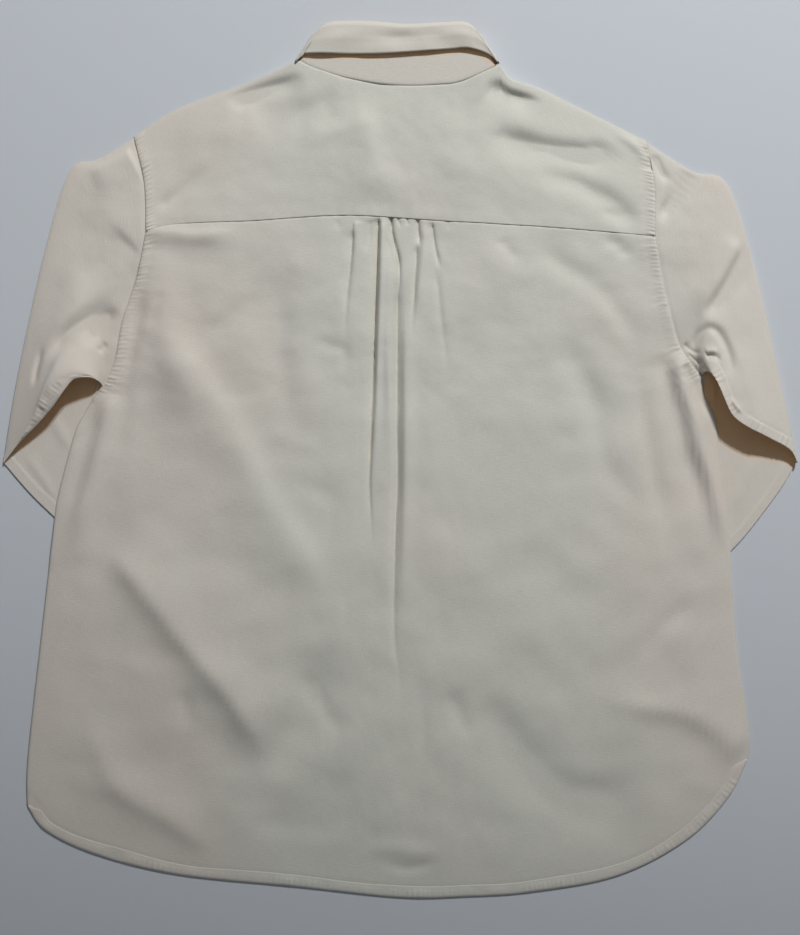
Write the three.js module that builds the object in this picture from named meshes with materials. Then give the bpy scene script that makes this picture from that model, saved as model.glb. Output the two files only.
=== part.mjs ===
// Loose shirt with a skipper collar, laid flat on its front with its back upwards.
// Millimetres, +Z up, +Y towards the collar. Z = 0 is the surface that the shirt lies on.
// Every cut piece is one wall of cloth. The folded pieces (yoke, sleeves, collar) are one
// wall that runs over the top layer, round a fold and back through the bottom layer.

import * as THREE from "three";

// ---- driving sizes -------------------------------------------------------------------

const CLOTH = 1.2;             // wall of one layer of cloth
const COLLAR_CLOTH = 1.0;      // wall of each layer of the collar
const SEAM = 0.3;              // gap between two pieces at a seam
const HALF_SEAM = 0.22;        // how far each piece stands back from its seam line
const LAYER = CLOTH + SEAM;    // height of one layer with the gap above it
const AIR = 4.5;               // how far the top layer bulges over the bottom one
const AIR_REACH = 35;          // distance from the outline in which it bulges
const FOLD_SEGMENTS = 4;       // facets round a fold
const FOLD_SWELL = 0.25;       // how much of its own height a fold swells outwards
const NECK_LEVEL = 7.6;        // the collar's layers hold the yoke this high round the neck
const NECK_REACH = 70;
const NECK_CENTRE = { x: 0, y: 345, halfWidth: 88, halfDepth: 62 };
const SLEEVE_LAP = { full: 30, end: 55 };  // how far in the sides lie over the sleeves
const LIFT_EASE = { below: 26, full: 4, above: 18 };  // lengths in which they rise there
const SLEEVE_ROWS = 7;
const MOUTH_START = 0.3;       // share of a sleeve's length where its mouth starts to lift
const FRONT_HEM_SHORT = 8;     // the front hem ends this far inside the back hem
const FRONT_HEM_EASE = 0.15;   // share of the front's half width in which it draws in
const V_HALF_WIDTH = 3;        // half width of the neck slit at its lower end

// ---- outlines, as [x, y] points that a smooth line runs through ----------------------

const YOKE_SEAM = [
  [-234, 211], [-205, 218], [-135, 221], [-51, 226], [41, 221], [141, 215], [235, 207],
];
const NECK_SEAM = [
  [-88, 363], [-59, 353], [-20, 346], [8, 345], [33, 346], [56, 349], [88, 362],
];
const BACK_HEM = [
  [-345, -318], [-328, -342], [-279, -365], [-204, -383], [-96, -394], [1, -404],
  [63, -403], [121, -399], [201, -384], [265, -351], [305, -310], [322, -275],
];

const LEFT = {
  side: -1,
  shoulder: [[-246, 298], [-206, 324], [-147, 341], [-90, 361]],
  armholeTop: [[-246, 298], [-236, 256], [-234, 211]],
  armholeBottom: [[-234, 211], [-242, 172], [-256, 129], [-262, 97], [-268, 66]],
  bodySide: [
    [-268, 66], [-291, 49], [-300, 30], [-306, 7], [-316, -32], [-320, -60],
    [-332, -164], [-344, -273], [-345, -318],
  ],
  sleeveFold: [[-246, 298], [-280, 278], [-305, 268], [-327, 197], [-352, 82], [-366, -2]],
  upperHem: [[-270.5, 72.5], [-301, 76], [-323, 66], [-336, 39], [-351, 16], [-366, -2]],
  lowerHem: [
    [-270.5, 72.5], [-274, 62], [-279, 45], [-290, 5], [-301, -40], [-310, -58],
    [-320, -50], [-342, -29], [-366, -2],
  ],
  underarm: [-268.5, 80],
  neckEdge: [[-88, 363], [-72, 336], [-3, 212]],
  mouthLift: 16,
  sleeveUnderBody: { low: -80, high: 78 },
};

const RIGHT = {
  side: 1,
  shoulder: [[228, 294], [184, 316], [133, 339], [90, 360]],
  armholeTop: [[228, 294], [235, 254], [235, 207]],
  armholeBottom: [[235, 207], [245, 153], [256, 111], [268, 90], [279, 78]],
  bodySide: [
    [279, 78], [288, 58], [292, 39], [295, 5], [304, -61], [306, -90],
    [311, -165], [323, -250], [322, -275],
  ],
  sleeveFold: [[228, 294], [270, 267], [302, 255], [327, 178], [351, 70], [366, -2]],
  upperHem: [[284, 84], [294, 66], [300, 48], [312, 34], [333, 24], [348, 17], [366, -2]],
  lowerHem: [
    [284, 84], [283, 50], [284, 5], [291, -60], [298, -90], [306, -84],
    [324, -64], [353, -25], [366, -2],
  ],
  underarm: [279, 91.5],
  neckEdge: [[88, 362], [72, 333], [3, 212]],
  mouthLift: 18,
  sleeveUnderBody: { low: -110, high: 92 },
};

// Columns of the back and the yoke: x where each crosses the yoke seam and the back hem.
// They crowd together at the gathers in the middle.
const COLUMNS = [
  { seam: -234, hem: -345 }, { seam: -205, hem: -300 }, { seam: -178, hem: -250 },
  { seam: -152, hem: -205 }, { seam: -126, hem: -165 }, { seam: -100, hem: -130 },
  { seam: -78, hem: -100 }, { seam: -60, hem: -72 }, { seam: -47, hem: -55 },
  { seam: -35, hem: -40 }, { seam: -23, hem: -27 }, { seam: -10, hem: -11 },
  { seam: 2, hem: 6 }, { seam: 14, hem: 22 }, { seam: 26, hem: 40 },
  { seam: 45, hem: 64 }, { seam: 62, hem: 90 }, { seam: 80, hem: 115 },
  { seam: 100, hem: 140 }, { seam: 127, hem: 175 }, { seam: 154, hem: 215 },
  { seam: 181, hem: 255 }, { seam: 208, hem: 290 }, { seam: 235, hem: 322 },
];
const NECK_FIRST = 5;          // column that runs up to the neck's left corner
const NECK_LAST = COLUMNS.length - 1 - NECK_FIRST;  // and the one at its right corner
const YOKE_ROWS = 5;
const ARMHOLE_ROWS = 6;
const SIDE_ROWS = 11;
const FACING_ROWS = 2;         // the stations of the armhole that the yoke's front part takes

// Large soft folds of the top layer: a straight line, half its width, and its rise.
const FOLDS = [
  { x0: -265, y0: -75, x1: -110, y1: -275, half: 22, rise: 3.2 },
  { x0: -290, y0: -110, x1: -142, y1: -300, half: 17, rise: -1.2 },
  { x0: -230, y0: 97, x1: -32, y1: -174, half: 20, rise: 2.4 },
  { x0: -300, y0: -225, x1: -185, y1: -350, half: 15, rise: 1.8 },
  { x0: 170, y0: -215, x1: 300, y1: -240, half: 18, rise: 2.6 },
  { x0: 147, y0: 198, x1: 225, y1: 93, half: 18, rise: -1.2 },
  { x0: 185, y0: 80, x1: 250, y1: -110, half: 14, rise: 2.2 },
  { x0: 74, y0: 318, x1: 190, y1: 304, half: 14, rise: 1.6 },
  { x0: -262, y0: 180, x1: -325, y1: 110, half: 16, rise: 2.0 },
  { x0: 318, y0: 190, x1: 275, y1: 122, half: 13, rise: -1.6 },
  { x0: 290, y0: 215, x1: 262, y1: 150, half: 14, rise: 1.8 },
];

// Gathers under the yoke: x at the top and at the bottom end, how far down each runs,
// and its rise. Rises are ridges and negative ones are the troughs between them.
const GATHERS = [
  { top: -60, end: -62, down: 90, half: 7, rise: 1.2 },
  { top: -47, end: -50, down: 110, half: 6, rise: -1.6 },
  { top: -35, end: -38, down: 230, half: 7, rise: 1.8 },
  { top: -23, end: -27, down: 300, half: 6, rise: -2.2 },
  { top: -10, end: -11, down: 330, half: 7, rise: 2.6 },
  { top: 2, end: 4, down: 440, half: 6, rise: -2.4 },
  { top: 14, end: 20, down: 380, half: 7, rise: 1.6 },
  { top: 26, end: 34, down: 90, half: 6, rise: -1.0 },
];
const GATHER_TOP = 223;        // y where the gathers start
const GATHER_EASE = { start: 0.06, fade: 0.5 };  // shares of a gather where it is full
const FOLD_EASE = 0.3;         // share of a fold's length in which each end dies away

// Rows across the collar from the neck seam over the roll to the edge of the leaf.
// part: which pair of lines the row lies between, and how far along; back and front are
// the heights of the under collar's middle on the two sides of the neck; away and along
// turn its outer face from the neck's inside, round the roll, to the outside.
const COLLAR_ROWS = [
  { part: "stand", at: 0.0, back: null, front: 0.5, away: -1, along: 0 },
  { part: "stand", at: 0.12, back: 7.7, front: 3.9, away: -1, along: 0 },
  { part: "stand", at: 0.5, back: 8.2, front: 3.9, away: -1, along: 0 },
  { part: "stand", at: 0.9, back: 8.4, front: 3.9, away: -0.95, along: 0.3 },
  { part: "stand", at: 0.97, back: 10.6, front: 2.5, away: 0, along: 1 },
  { part: "leaf", at: 0.14, back: 13.0, front: 2.3, away: 0.95, along: 0.3 },
  { part: "leaf", at: 0.55, back: 14.2, front: 2.3, away: 1, along: 0 },
  { part: "leaf", at: 1.0, back: 13.6, front: 2.3, away: 1, along: 0 },
];
const COLLAR_BACK = {
  roll: [[-71, 394], [-56, 402.5], [-28, 403.7], [5, 401], [40, 403], [56, 403], [71, 394]],
  leaf: [[-92, 374], [-78, 377], [-28, 376], [1, 377], [56, 381], [70, 379], [90, 373]],
};
const COLLAR_FRONT = {
  seam: [[88, 363], [72, 336], [26, 253]],
  roll: [[71, 394], [38, 345], [6, 268]],
  leaf: [[90, 374], [62, 340], [22, 272]],
};
const COLLAR_BACK_COLUMNS = 12;
const COLLAR_FRONT_COLUMNS = 5;
const COLLAR_GAP = 1.8;        // from the middle of one collar layer to the other's
const COLLAR_SETBACK = 3 * HALF_SEAM;  // how far the collar starts beyond the neck seam

// ---- small helpers -------------------------------------------------------------------

const lerp = THREE.MathUtils.lerp;
const smooth = (value, low, high) => THREE.MathUtils.smoothstep(value, low, high);
const flat = (x, y) => new THREE.Vector2(x, y);
const raised = (point, z) => new THREE.Vector3(point.x, point.y, z);

const DENSE_POINTS = 400;
const LINE_POINTS = 60;

const smoothLine = (points) => new THREE.SplineCurve(points.map(([x, y]) => flat(x, y)));

// Points at equal steps along a smooth line.
const steps = (points, count) => smoothLine(points).getSpacedPoints(count);

// The point of a smooth line at a given x, for lines that run steadily in x.
function pointAtX(points, x) {
  const dense = smoothLine(points).getPoints(DENSE_POINTS);
  let best = 1;
  while (best < dense.length - 1 && dense[best].x < x) best += 1;
  const [a, b] = [dense[best - 1], dense[best]];
  return a.clone().lerp(b, THREE.MathUtils.clamp((x - a.x) / (b.x - a.x), 0, 1));
}

function distanceToSegment(x, y, a, b) {
  const [dx, dy] = [b.x - a.x, b.y - a.y];
  const along = ((x - a.x) * dx + (y - a.y) * dy) / (dx * dx + dy * dy);
  const t = THREE.MathUtils.clamp(along, 0, 1);
  return { t, distance: Math.hypot(x - a.x - t * dx, y - a.y - t * dy) };
}

function distanceToLine(x, y, line) {
  let nearest = Infinity;
  for (let i = 1; i < line.length; i += 1) {
    nearest = Math.min(nearest, distanceToSegment(x, y, line[i - 1], line[i]).distance);
  }
  return nearest;
}

// A patch between four sides. top and bottom share their columns, left and right their rows.
function patch(top, bottom, left, right) {
  const [across, down] = [top.length - 1, left.length - 1];
  const width = top[across].distanceTo(top[0]);
  const place = (i, j) => {
    const [u, v] = [top[i].distanceTo(top[0]) / width, j / down];
    const between = (n) => top[n].clone().lerp(bottom[n], v);
    const leftPull = left[j].clone().sub(between(0)).multiplyScalar(1 - u);
    const rightPull = right[j].clone().sub(between(across)).multiplyScalar(u);
    return between(i).add(leftPull).add(rightPull);
  };
  return top.map((_, i) => left.map((__, j) => place(i, j)));
}

// ---- heights -------------------------------------------------------------------------

const bodyOutlines = [LEFT, RIGHT].map((cut) => ({
  cut,
  side: steps(cut.bodySide, LINE_POINTS),
  over: [
    ...steps(cut.sleeveFold, LINE_POINTS).reverse(),
    ...steps(cut.shoulder, LINE_POINTS).slice(1),
  ],
}));
const hemOutline = steps(BACK_HEM, LINE_POINTS);

// The body's sides lie over the lower layer of the sleeves, so they are one layer higher.
function sleeveLift(x, y) {
  const { cut, side } = x < 0 ? bodyOutlines[0] : bodyOutlines[1];
  const { low, high } = cut.sleeveUnderBody;
  const rising = smooth(y, low - LIFT_EASE.below, low - LIFT_EASE.full);
  const window = rising * (1 - smooth(y, high, high + LIFT_EASE.above));
  if (window === 0) return 0;
  const inside = distanceToLine(x, y, side);
  return LAYER * window * (1 - smooth(inside, SLEEVE_LAP.full, SLEEVE_LAP.end));
}

// Share of the neck's level in the height of the yoke, from 1 at the neck to 0.
function neckShare(x, y) {
  const [dx, dy] = [Math.abs(x - NECK_CENTRE.x), Math.abs(y - NECK_CENTRE.y)];
  const outside = Math.hypot(
    Math.max(0, dx - NECK_CENTRE.halfWidth), Math.max(0, dy - NECK_CENTRE.halfDepth));
  return 1 - smooth(outside, 0, NECK_REACH);
}

function foldHeight(x, y) {
  let height = 0;
  for (const fold of FOLDS) {
    const near = distanceToSegment(x, y, flat(fold.x0, fold.y0), flat(fold.x1, fold.y1));
    const ends = smooth(Math.min(near.t, 1 - near.t), 0, FOLD_EASE);
    height += fold.rise * ends * Math.exp(-((near.distance / fold.half) ** 2));
  }
  for (const gather of GATHERS) {
    const along = (GATHER_TOP - y) / gather.down;
    const centre = lerp(gather.top, gather.end, along);
    const started = smooth(along, 0, GATHER_EASE.start);
    const ends = started * (1 - smooth(along, GATHER_EASE.fade, 1));
    height += gather.rise * ends * Math.exp(-(((x - centre) / gather.half) ** 2));
  }
  return height;
}

// Height of the underside of the top layer over the surface.
function upper(x, y) {
  const edges = bodyOutlines.flatMap(({ side, over }) => [side, over]);
  const inside = Math.min(...[...edges, hemOutline].map((line) => distanceToLine(x, y, line)));
  const bulge = 1 - Math.exp(-inside / AIR_REACH);
  const settled = smooth(inside, 0, AIR_REACH);
  const height = LAYER + sleeveLift(x, y) + AIR * bulge + settled * foldHeight(x, y);
  return lerp(height, Math.max(height, NECK_LEVEL), neckShare(x, y));
}

// ---- walls of cloth ------------------------------------------------------------------

// A closed wall from two matching grids of points, its faces pointing out. cells are the
// grid's [i, j] squares that hold cloth; wrap joins the last column to the first.
function wallGeometry(outer, inner, { keep = () => true, wrap = false } = {}) {
  const [columns, rows] = [outer.length, outer[0].length];
  const index = (i, j, layer) => 2 * ((i % columns) * rows + j) + layer;
  const vertices = new Float32Array(columns * rows * 6);
  outer.forEach((column, i) => column.forEach((point, j) => {
    point.toArray(vertices, 3 * index(i, j, 0));
    inner[i][j].toArray(vertices, 3 * index(i, j, 1));
  }));
  const triangles = [];
  const quad = (a, b, c, d) => triangles.push(a, b, c, a, c, d);
  const edges = new Map();
  const across = wrap ? columns : columns - 1;
  for (let i = 0; i < across; i += 1) {
    for (let j = 0; j < rows - 1; j += 1) {
      if (!keep(i, j)) continue;
      const ring = [[i, j], [i + 1, j], [i + 1, j + 1], [i, j + 1]];
      quad(...ring.map((corner) => index(...corner, 0)));
      const [a, b, c, d] = ring.map((corner) => index(...corner, 1));
      quad(a, d, c, b);
      ring.forEach((corner, k) => {
        const next = ring[(k + 1) % 4];
        const [from, to] = [index(...corner, 0), index(...next, 0)];
        if (!edges.delete(`${to},${from}`)) edges.set(`${from},${to}`, [from, to]);
      });
    }
  }
  for (const [from, to] of edges.values()) quad(to, from, from + 1, to + 1);
  const geometry = new THREE.BufferGeometry();
  geometry.setAttribute("position", new THREE.BufferAttribute(vertices, 3));
  geometry.setIndex(triangles);
  return withFacesOut(geometry.toNonIndexed());
}

// Turns the faces out if the wall was wound inside out.
function withFacesOut(geometry) {
  const position = geometry.getAttribute("position");
  const [a, b, c] = [new THREE.Vector3(), new THREE.Vector3(), new THREE.Vector3()];
  let volume = 0;
  for (let i = 0; i < position.count; i += 3) {
    a.fromBufferAttribute(position, i);
    b.fromBufferAttribute(position, i + 1);
    c.fromBufferAttribute(position, i + 2);
    volume += a.dot(b.cross(c));
  }
  if (volume < 0) {
    for (let i = 0; i < position.count; i += 3) {
      b.fromBufferAttribute(position, i + 1);
      c.fromBufferAttribute(position, i + 2);
      position.setXYZ(i + 1, c.x, c.y, c.z);
      position.setXYZ(i + 2, b.x, b.y, b.z);
    }
  }
  geometry.computeVertexNormals();
  return geometry;
}

// How far a fold of the given inner height stands out beyond its line.
const foldBulge = (under) => CLOTH + SEAM / 2 + FOLD_SWELL * (under - LAYER);

// The points round a fold, from the top layer to the bottom one: outer and inner faces.
function foldPoints(point, outward, under) {
  const middle = (under + CLOTH) / 2;
  const [outer, inner] = [[], []];
  for (let k = 0; k <= FOLD_SEGMENTS; k += 1) {
    const angle = Math.PI * (0.5 - k / FOLD_SEGMENTS);
    const reach = Math.cos(angle);
    const at = (bulge, half) => raised(
      point.clone().addScaledVector(outward, bulge * reach), middle + half * Math.sin(angle));
    outer.push(at(foldBulge(under), middle));
    inner.push(at(foldBulge(under) - CLOTH, middle - CLOTH));
  }
  return { outer, inner };
}

// Unit normals of a line of points in plan, on the given side of its direction of travel.
function normals(points, turn) {
  return points.map((_, i) => {
    const before = points[Math.max(0, i - 1)];
    const after = points[Math.min(points.length - 1, i + 1)];
    const along = after.clone().sub(before).normalize();
    return flat(-along.y * turn, along.x * turn);
  });
}

// The way each station of a shoulder's fold stands out, from the armhole to the neck.
const shoulderNormals = (cut) => normals(steps(cut.shoulder, NECK_FIRST), -cut.side);

const shifted = (points, dx, dy) => points.map((point) => flat(point.x + dx, point.y + dy));

const topWall = (point) => upper(point.x, point.y);

// ---- stations shared by neighbouring pieces ------------------------------------------

function stations(cut) {
  const top = steps(cut.armholeTop, YOKE_ROWS);
  const bottom = steps(cut.armholeBottom, ARMHOLE_ROWS);
  const side = steps(cut.bodySide, SIDE_ROWS);
  return { top, bottom, side, armhole: [...top, ...bottom.slice(1)] };
}
const leftStations = stations(LEFT);
const rightStations = stations(RIGHT);
const seamPoints = COLUMNS.map((column) => pointAtX(YOKE_SEAM, column.seam));

// ---- back ----------------------------------------------------------------------------

function buildBack() {
  const top = shifted(seamPoints, 0, -HALF_SEAM);
  const bottom = COLUMNS.map((column) => pointAtX(BACK_HEM, column.hem));
  const edge = (at) => [...at.bottom, ...at.side.slice(1)];
  const left = shifted(edge(leftStations), HALF_SEAM, 0);
  const right = shifted(edge(rightStations), -HALF_SEAM, 0);
  left[0].y -= HALF_SEAM;
  right[0].y -= HALF_SEAM;
  const plan = patch(top, bottom, left, right);
  const inner = plan.map((column) => column.map((point) => raised(point, topWall(point))));
  const outer = inner.map((column) => column.map((point) => raised(point, point.z + CLOTH)));
  return wallGeometry(outer, inner);
}

// ---- front ---------------------------------------------------------------------------

// The two halves meet below the neck slit. The strip of cells between them is cut away
// as far down as the slit runs.
const SLIT_ROWS = 3;
const FRONT_SHARES = [0, 0.05, 0.1, 0.18, 0.4, 0.7, 1];

function frontHalf(cut, at) {
  const inward = -cut.side * HALF_SEAM;
  const outerEdge = shifted([...at.armhole.slice(FACING_ROWS), ...at.side.slice(1)], inward, 0);
  outerEdge[0].y -= HALF_SEAM;
  const neck = steps([cut.neckEdge[1], cut.neckEdge[2]], SLIT_ROWS);
  const below = outerEdge.length - 1 - SLIT_ROWS;
  const hemPoint = pointAtX(BACK_HEM, cut.side * V_HALF_WIDTH);
  hemPoint.y += FRONT_HEM_SHORT;
  const centre = steps([cut.neckEdge[2], [hemPoint.x, hemPoint.y]], below);
  const innerEdge = [...neck, ...centre.slice(1)];
  const from = outerEdge.at(-1);
  const [top, bottom] = [[], []];
  for (const share of FRONT_SHARES) {
    top.push(outerEdge[0].clone().lerp(innerEdge[0], share));
    const hem = pointAtX(BACK_HEM, lerp(from.x, hemPoint.x, share));
    bottom.push(flat(hem.x, hem.y + FRONT_HEM_SHORT * smooth(share, 0, FRONT_HEM_EASE)));
  }
  innerEdge[0].y -= HALF_SEAM;
  top.forEach((point, i) => {
    point.y -= i > 0 ? HALF_SEAM : 0;
  });
  return patch(top, bottom, outerEdge, innerEdge);
}

function buildFront() {
  const left = frontHalf(LEFT, leftStations);
  const right = frontHalf(RIGHT, rightStations).reverse();
  const plan = [...left, ...right];
  const inner = plan.map((column) => column.map((p) => raised(p, sleeveLift(p.x, p.y))));
  const outer = inner.map((column) => column.map((p) => raised(p, p.z + CLOTH)));
  const inSlit = (i, j) => i === left.length - 1 && j < SLIT_ROWS;
  return wallGeometry(outer, inner, { keep: (i, j) => !inSlit(i, j) });
}

// ---- yoke ----------------------------------------------------------------------------

// One piece: the back part up to the neck seam and the shoulders, over the shoulders, and
// a strip down each front. Rows run upwards from the yoke seam.
function buildYoke() {
  const leftTop = steps(LEFT.shoulder, NECK_FIRST);
  const rightTop = steps(RIGHT.shoulder, NECK_FIRST).reverse();
  const neck = steps(NECK_SEAM, NECK_LAST - NECK_FIRST);
  const top = [...leftTop.slice(0, -1), ...shifted(neck, 0, -HALF_SEAM), ...rightTop.slice(1)];
  const bottom = shifted(seamPoints, 0, HALF_SEAM);
  const left = shifted([...leftStations.top].reverse(), HALF_SEAM, 0);
  const right = shifted([...rightStations.top].reverse(), -HALF_SEAM, 0);
  left[0].y += HALF_SEAM;
  right[0].y += HALF_SEAM;
  top[0] = left.at(-1);
  top[top.length - 1] = right.at(-1);
  const plan = patch(bottom, top, left, right);
  const outward = [
    ...shoulderNormals(LEFT), ...neck.slice(1, -1).map(() => flat(0, 1)),
    ...shoulderNormals(RIGHT).reverse(),
  ];
  const isNeck = (i) => i > NECK_FIRST && i < NECK_LAST;
  const [outer, inner] = [[], []];
  plan.forEach((column, i) => {
    const innerColumn = column.map((point) => raised(point, topWall(point)));
    const outerColumn = innerColumn.map((point) => raised(point, point.z + CLOTH));
    const ridge = column.at(-1);
    const around = foldPoints(ridge, outward[i], topWall(ridge));
    const facing = isNeck(i) ? [ridge, ridge] : facingPoints(i);
    outer.push([...outerColumn, ...around.outer.slice(1), ...facing.map((p) => raised(p, 0))]);
    inner.push([...innerColumn, ...around.inner.slice(1), ...facing.map((p) => raised(p, CLOTH))]);
  });
  const keep = (i, j) => j < YOKE_ROWS || i < NECK_FIRST || i >= NECK_LAST;
  return wallGeometry(outer, inner, { keep });
}

// The points of the yoke's front strip at a column, from its middle to its lower edge.
function facingPoints(column) {
  const onLeft = column <= NECK_FIRST;
  const [cut, at] = onLeft ? [LEFT, leftStations] : [RIGHT, rightStations];
  const share = (onLeft ? column : COLUMNS.length - 1 - column) / NECK_FIRST;
  const neck = steps([cut.neckEdge[0], cut.neckEdge[1]], FACING_ROWS);
  return neck.slice(1).map((neckPoint, k) => {
    const armholePoint = at.armhole[k + 1].clone();
    armholePoint.x -= cut.side * HALF_SEAM;
    const point = armholePoint.lerp(neckPoint, share);
    point.y += k === FACING_ROWS - 1 ? HALF_SEAM : 0;
    return point;
  });
}

// ---- sleeves -------------------------------------------------------------------------

// A flattened tube. Each ring runs from the underarm over the top layer to the outer fold
// and back through the bottom layer, and the top layer's mouth is held open.
function buildSleeve(cut, at) {
  const outwards = cut.side * HALF_SEAM;
  const armhole = shifted([...at.armhole].reverse(), outwards, 0);
  armhole[0] = flat(...cut.underarm);
  const last = armhole.length - 1;
  const fold = shifted(steps(cut.sleeveFold, SLEEVE_ROWS), outwards, 0);
  const toHem = steps([cut.underarm, cut.upperHem[0]], SLEEVE_ROWS);
  armhole[last] = fold[0];
  const upperPlan = patch(armhole, steps(cut.upperHem, last), toHem, fold);
  const lowerPlan = patch(armhole, steps(cut.lowerHem, last), toHem, fold);
  const foldOut = [shoulderNormals(cut)[0], ...normals(fold, cut.side).slice(1)];
  const [outer, inner] = [[], []];
  const addColumn = (outerColumn, innerColumn) => {
    outer.push(outerColumn);
    inner.push(innerColumn);
  };
  const under = (i, j) => {
    const point = upperPlan[i][j];
    const open = Math.sin((Math.PI * i) / last) * smooth(j / SLEEVE_ROWS, MOUTH_START, 1);
    return topWall(point) + cut.mouthLift * open;
  };
  for (let i = 0; i <= last; i += 1) {
    const column = upperPlan[i].map((point, j) => raised(point, under(i, j)));
    addColumn(column.map((point) => raised(point, point.z + CLOTH)), column);
  }
  addFold(addColumn, fold, foldOut, (j) => under(last, j), false);
  for (let i = last; i >= 0; i -= 1) {
    const column = lowerPlan[i];
    addColumn(column.map((p) => raised(p, 0)), column.map((p) => raised(p, CLOTH)));
  }
  addFold(addColumn, toHem, normals(toHem, -cut.side), (j) => under(0, j), true);
  return wallGeometry(outer, inner, { wrap: true });
}

// Adds the columns between two layers, without the layers' own edges.
function addFold(addColumn, line, outward, under, upwards) {
  const rounds = line.map((point, j) => foldPoints(point, outward[j], under(j)));
  for (let k = 1; k < FOLD_SEGMENTS; k += 1) {
    const n = upwards ? FOLD_SEGMENTS - k : k;
    addColumn(rounds.map(({ outer }) => outer[n]), rounds.map(({ inner }) => inner[n]));
  }
}

// ---- collar --------------------------------------------------------------------------

// One line round the neck, as points down its left front, across its back and down its
// right front.
function collarLine(name) {
  const back = name === "seam" ? NECK_SEAM : COLLAR_BACK[name];
  const front = COLLAR_FRONT[name];
  const mirrored = front.map(([x, y]) => [-x, y]);
  const rightFront = steps(front, COLLAR_FRONT_COLUMNS);
  const leftFront = steps(mirrored, COLLAR_FRONT_COLUMNS);
  const backPoints = steps(back, COLLAR_BACK_COLUMNS);
  const join = (points, corner) => points.map((point, k) => {
    const share = 1 - k / COLLAR_FRONT_COLUMNS;
    return point.clone().add(corner.clone().sub(points[0]).multiplyScalar(share));
  });
  return {
    left: join(leftFront, backPoints[0]),
    back: backPoints,
    right: join(rightFront, backPoints.at(-1)),
  };
}

// Both layers of the collar follow one set of rings round the neck, open at the front.
// Each ring lies over the yoke at the back, folds down at the sides of the neck and runs
// forward through the bottom layer. depth sets a layer off from the rings.
function buildCollar(depth) {
  const lines = { seam: collarLine("seam"), roll: collarLine("roll"), leaf: collarLine("leaf") };
  const columns = [];
  const spot = (region, k, row) => {
    const [from, to] = row.part === "stand" ? ["seam", "roll"] : ["roll", "leaf"];
    const point = lines[from][region][k].clone().lerp(lines[to][region][k], row.at);
    const along = lines.roll[region][k].clone().sub(lines.seam[region][k]).normalize();
    const clear = row.part === "stand" && row.at === 0 ? COLLAR_SETBACK : 0;
    return { point: point.addScaledVector(along, clear), along };
  };
  const backHeight = (row, point) => row.back ?? topWall(point) + COLLAR_CLOTH / 2;
  const place = (point, along, away, z, row, offset) => {
    const normal = away.clone().multiplyScalar(row.away);
    normal.add(raised(along.clone().multiplyScalar(row.along), 0)).normalize();
    const middle = raised(point, z).addScaledVector(normal, offset);
    return [1, -1].map((face) => middle.clone().addScaledVector(normal, face * COLLAR_CLOTH / 2));
  };
  const addFlat = (region, k, isBack) => columns.push(COLLAR_ROWS.map((row) => {
    const { point, along } = spot(region, k, row);
    const z = isBack ? backHeight(row, point) : row.front;
    return place(point, along, new THREE.Vector3(0, 0, isBack ? 1 : -1), z, row, depth);
  }));
  const facetStretch = 1 / Math.cos(Math.PI / 2 / FOLD_SEGMENTS);
  const topToBottom = Array.from({ length: FOLD_SEGMENTS - 1 }, (_, n) => n + 1);
  const bottomToTop = [...topToBottom].reverse();
  const addSide = (k, cut, order) => order.forEach((n) => {
    const angle = Math.PI * (0.5 - n / FOLD_SEGMENTS);
    columns.push(COLLAR_ROWS.map((row) => {
      const { point, along } = spot("back", k, row);
      const atSeam = row.back === null;
      const high = backHeight(row, point);
      const half = (high - row.front) / 2;
      const outward = atSeam ? shoulderNormals(cut).at(-1) : flat(cut.side, 0);
      const bulge = atSeam ? foldBulge(topWall(point)) - CLOTH / 2 : half / 2;
      const middle = point.clone().addScaledVector(outward, bulge * Math.cos(angle));
      const away = raised(outward.multiplyScalar(Math.cos(angle)), Math.sin(angle));
      const z = row.front + half * (1 + Math.sin(angle));
      return place(middle, along, away, z, row, depth * facetStretch);
    }));
  });
  for (let k = COLLAR_FRONT_COLUMNS; k >= 0; k -= 1) addFlat("left", k, false);
  addSide(0, LEFT, bottomToTop);
  for (let k = 0; k <= COLLAR_BACK_COLUMNS; k += 1) addFlat("back", k, true);
  addSide(COLLAR_BACK_COLUMNS, RIGHT, topToBottom);
  for (let k = 0; k <= COLLAR_FRONT_COLUMNS; k += 1) addFlat("right", k, false);
  const face = (n) => columns.map((column) => column.map((pair) => pair[n]));
  return wallGeometry(face(0), face(1));
}

// ---- the shirt -----------------------------------------------------------------------

const CREAM = 0xbdbcb0;
const CREAM_WARM = 0xc3b9a9;

function clothPiece(name, geometry, color) {
  const material = new THREE.MeshStandardMaterial({ color, roughness: 0.85, metalness: 0 });
  const mesh = new THREE.Mesh(geometry, material);
  mesh.name = name;
  return mesh;
}

const shirt = new THREE.Group();
shirt.add(
  clothPiece("front", buildFront(), CREAM),
  clothPiece("back", buildBack(), CREAM),
  clothPiece("yoke", buildYoke(), CREAM_WARM),
  clothPiece("sleeve_left", buildSleeve(LEFT, leftStations), CREAM),
  clothPiece("sleeve_right", buildSleeve(RIGHT, rightStations), CREAM),
  clothPiece("under_collar", buildCollar(0), CREAM_WARM),
  clothPiece("upper_collar", buildCollar(COLLAR_GAP), CREAM_WARM),
);

export default shirt;
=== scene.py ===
"""A skipper collar shirt laid flat, back upwards, on a pale floor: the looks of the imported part.

The outlines and creases below are in millimetres in the part's own frame, and MM turns them
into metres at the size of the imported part. Every piece of cloth is a thin closed shell over
its solid's form, with its creases laid on as soft ridges and troughs.
"""
from collections import namedtuple

import bpy
import numpy as np
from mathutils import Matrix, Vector, noise


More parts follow.
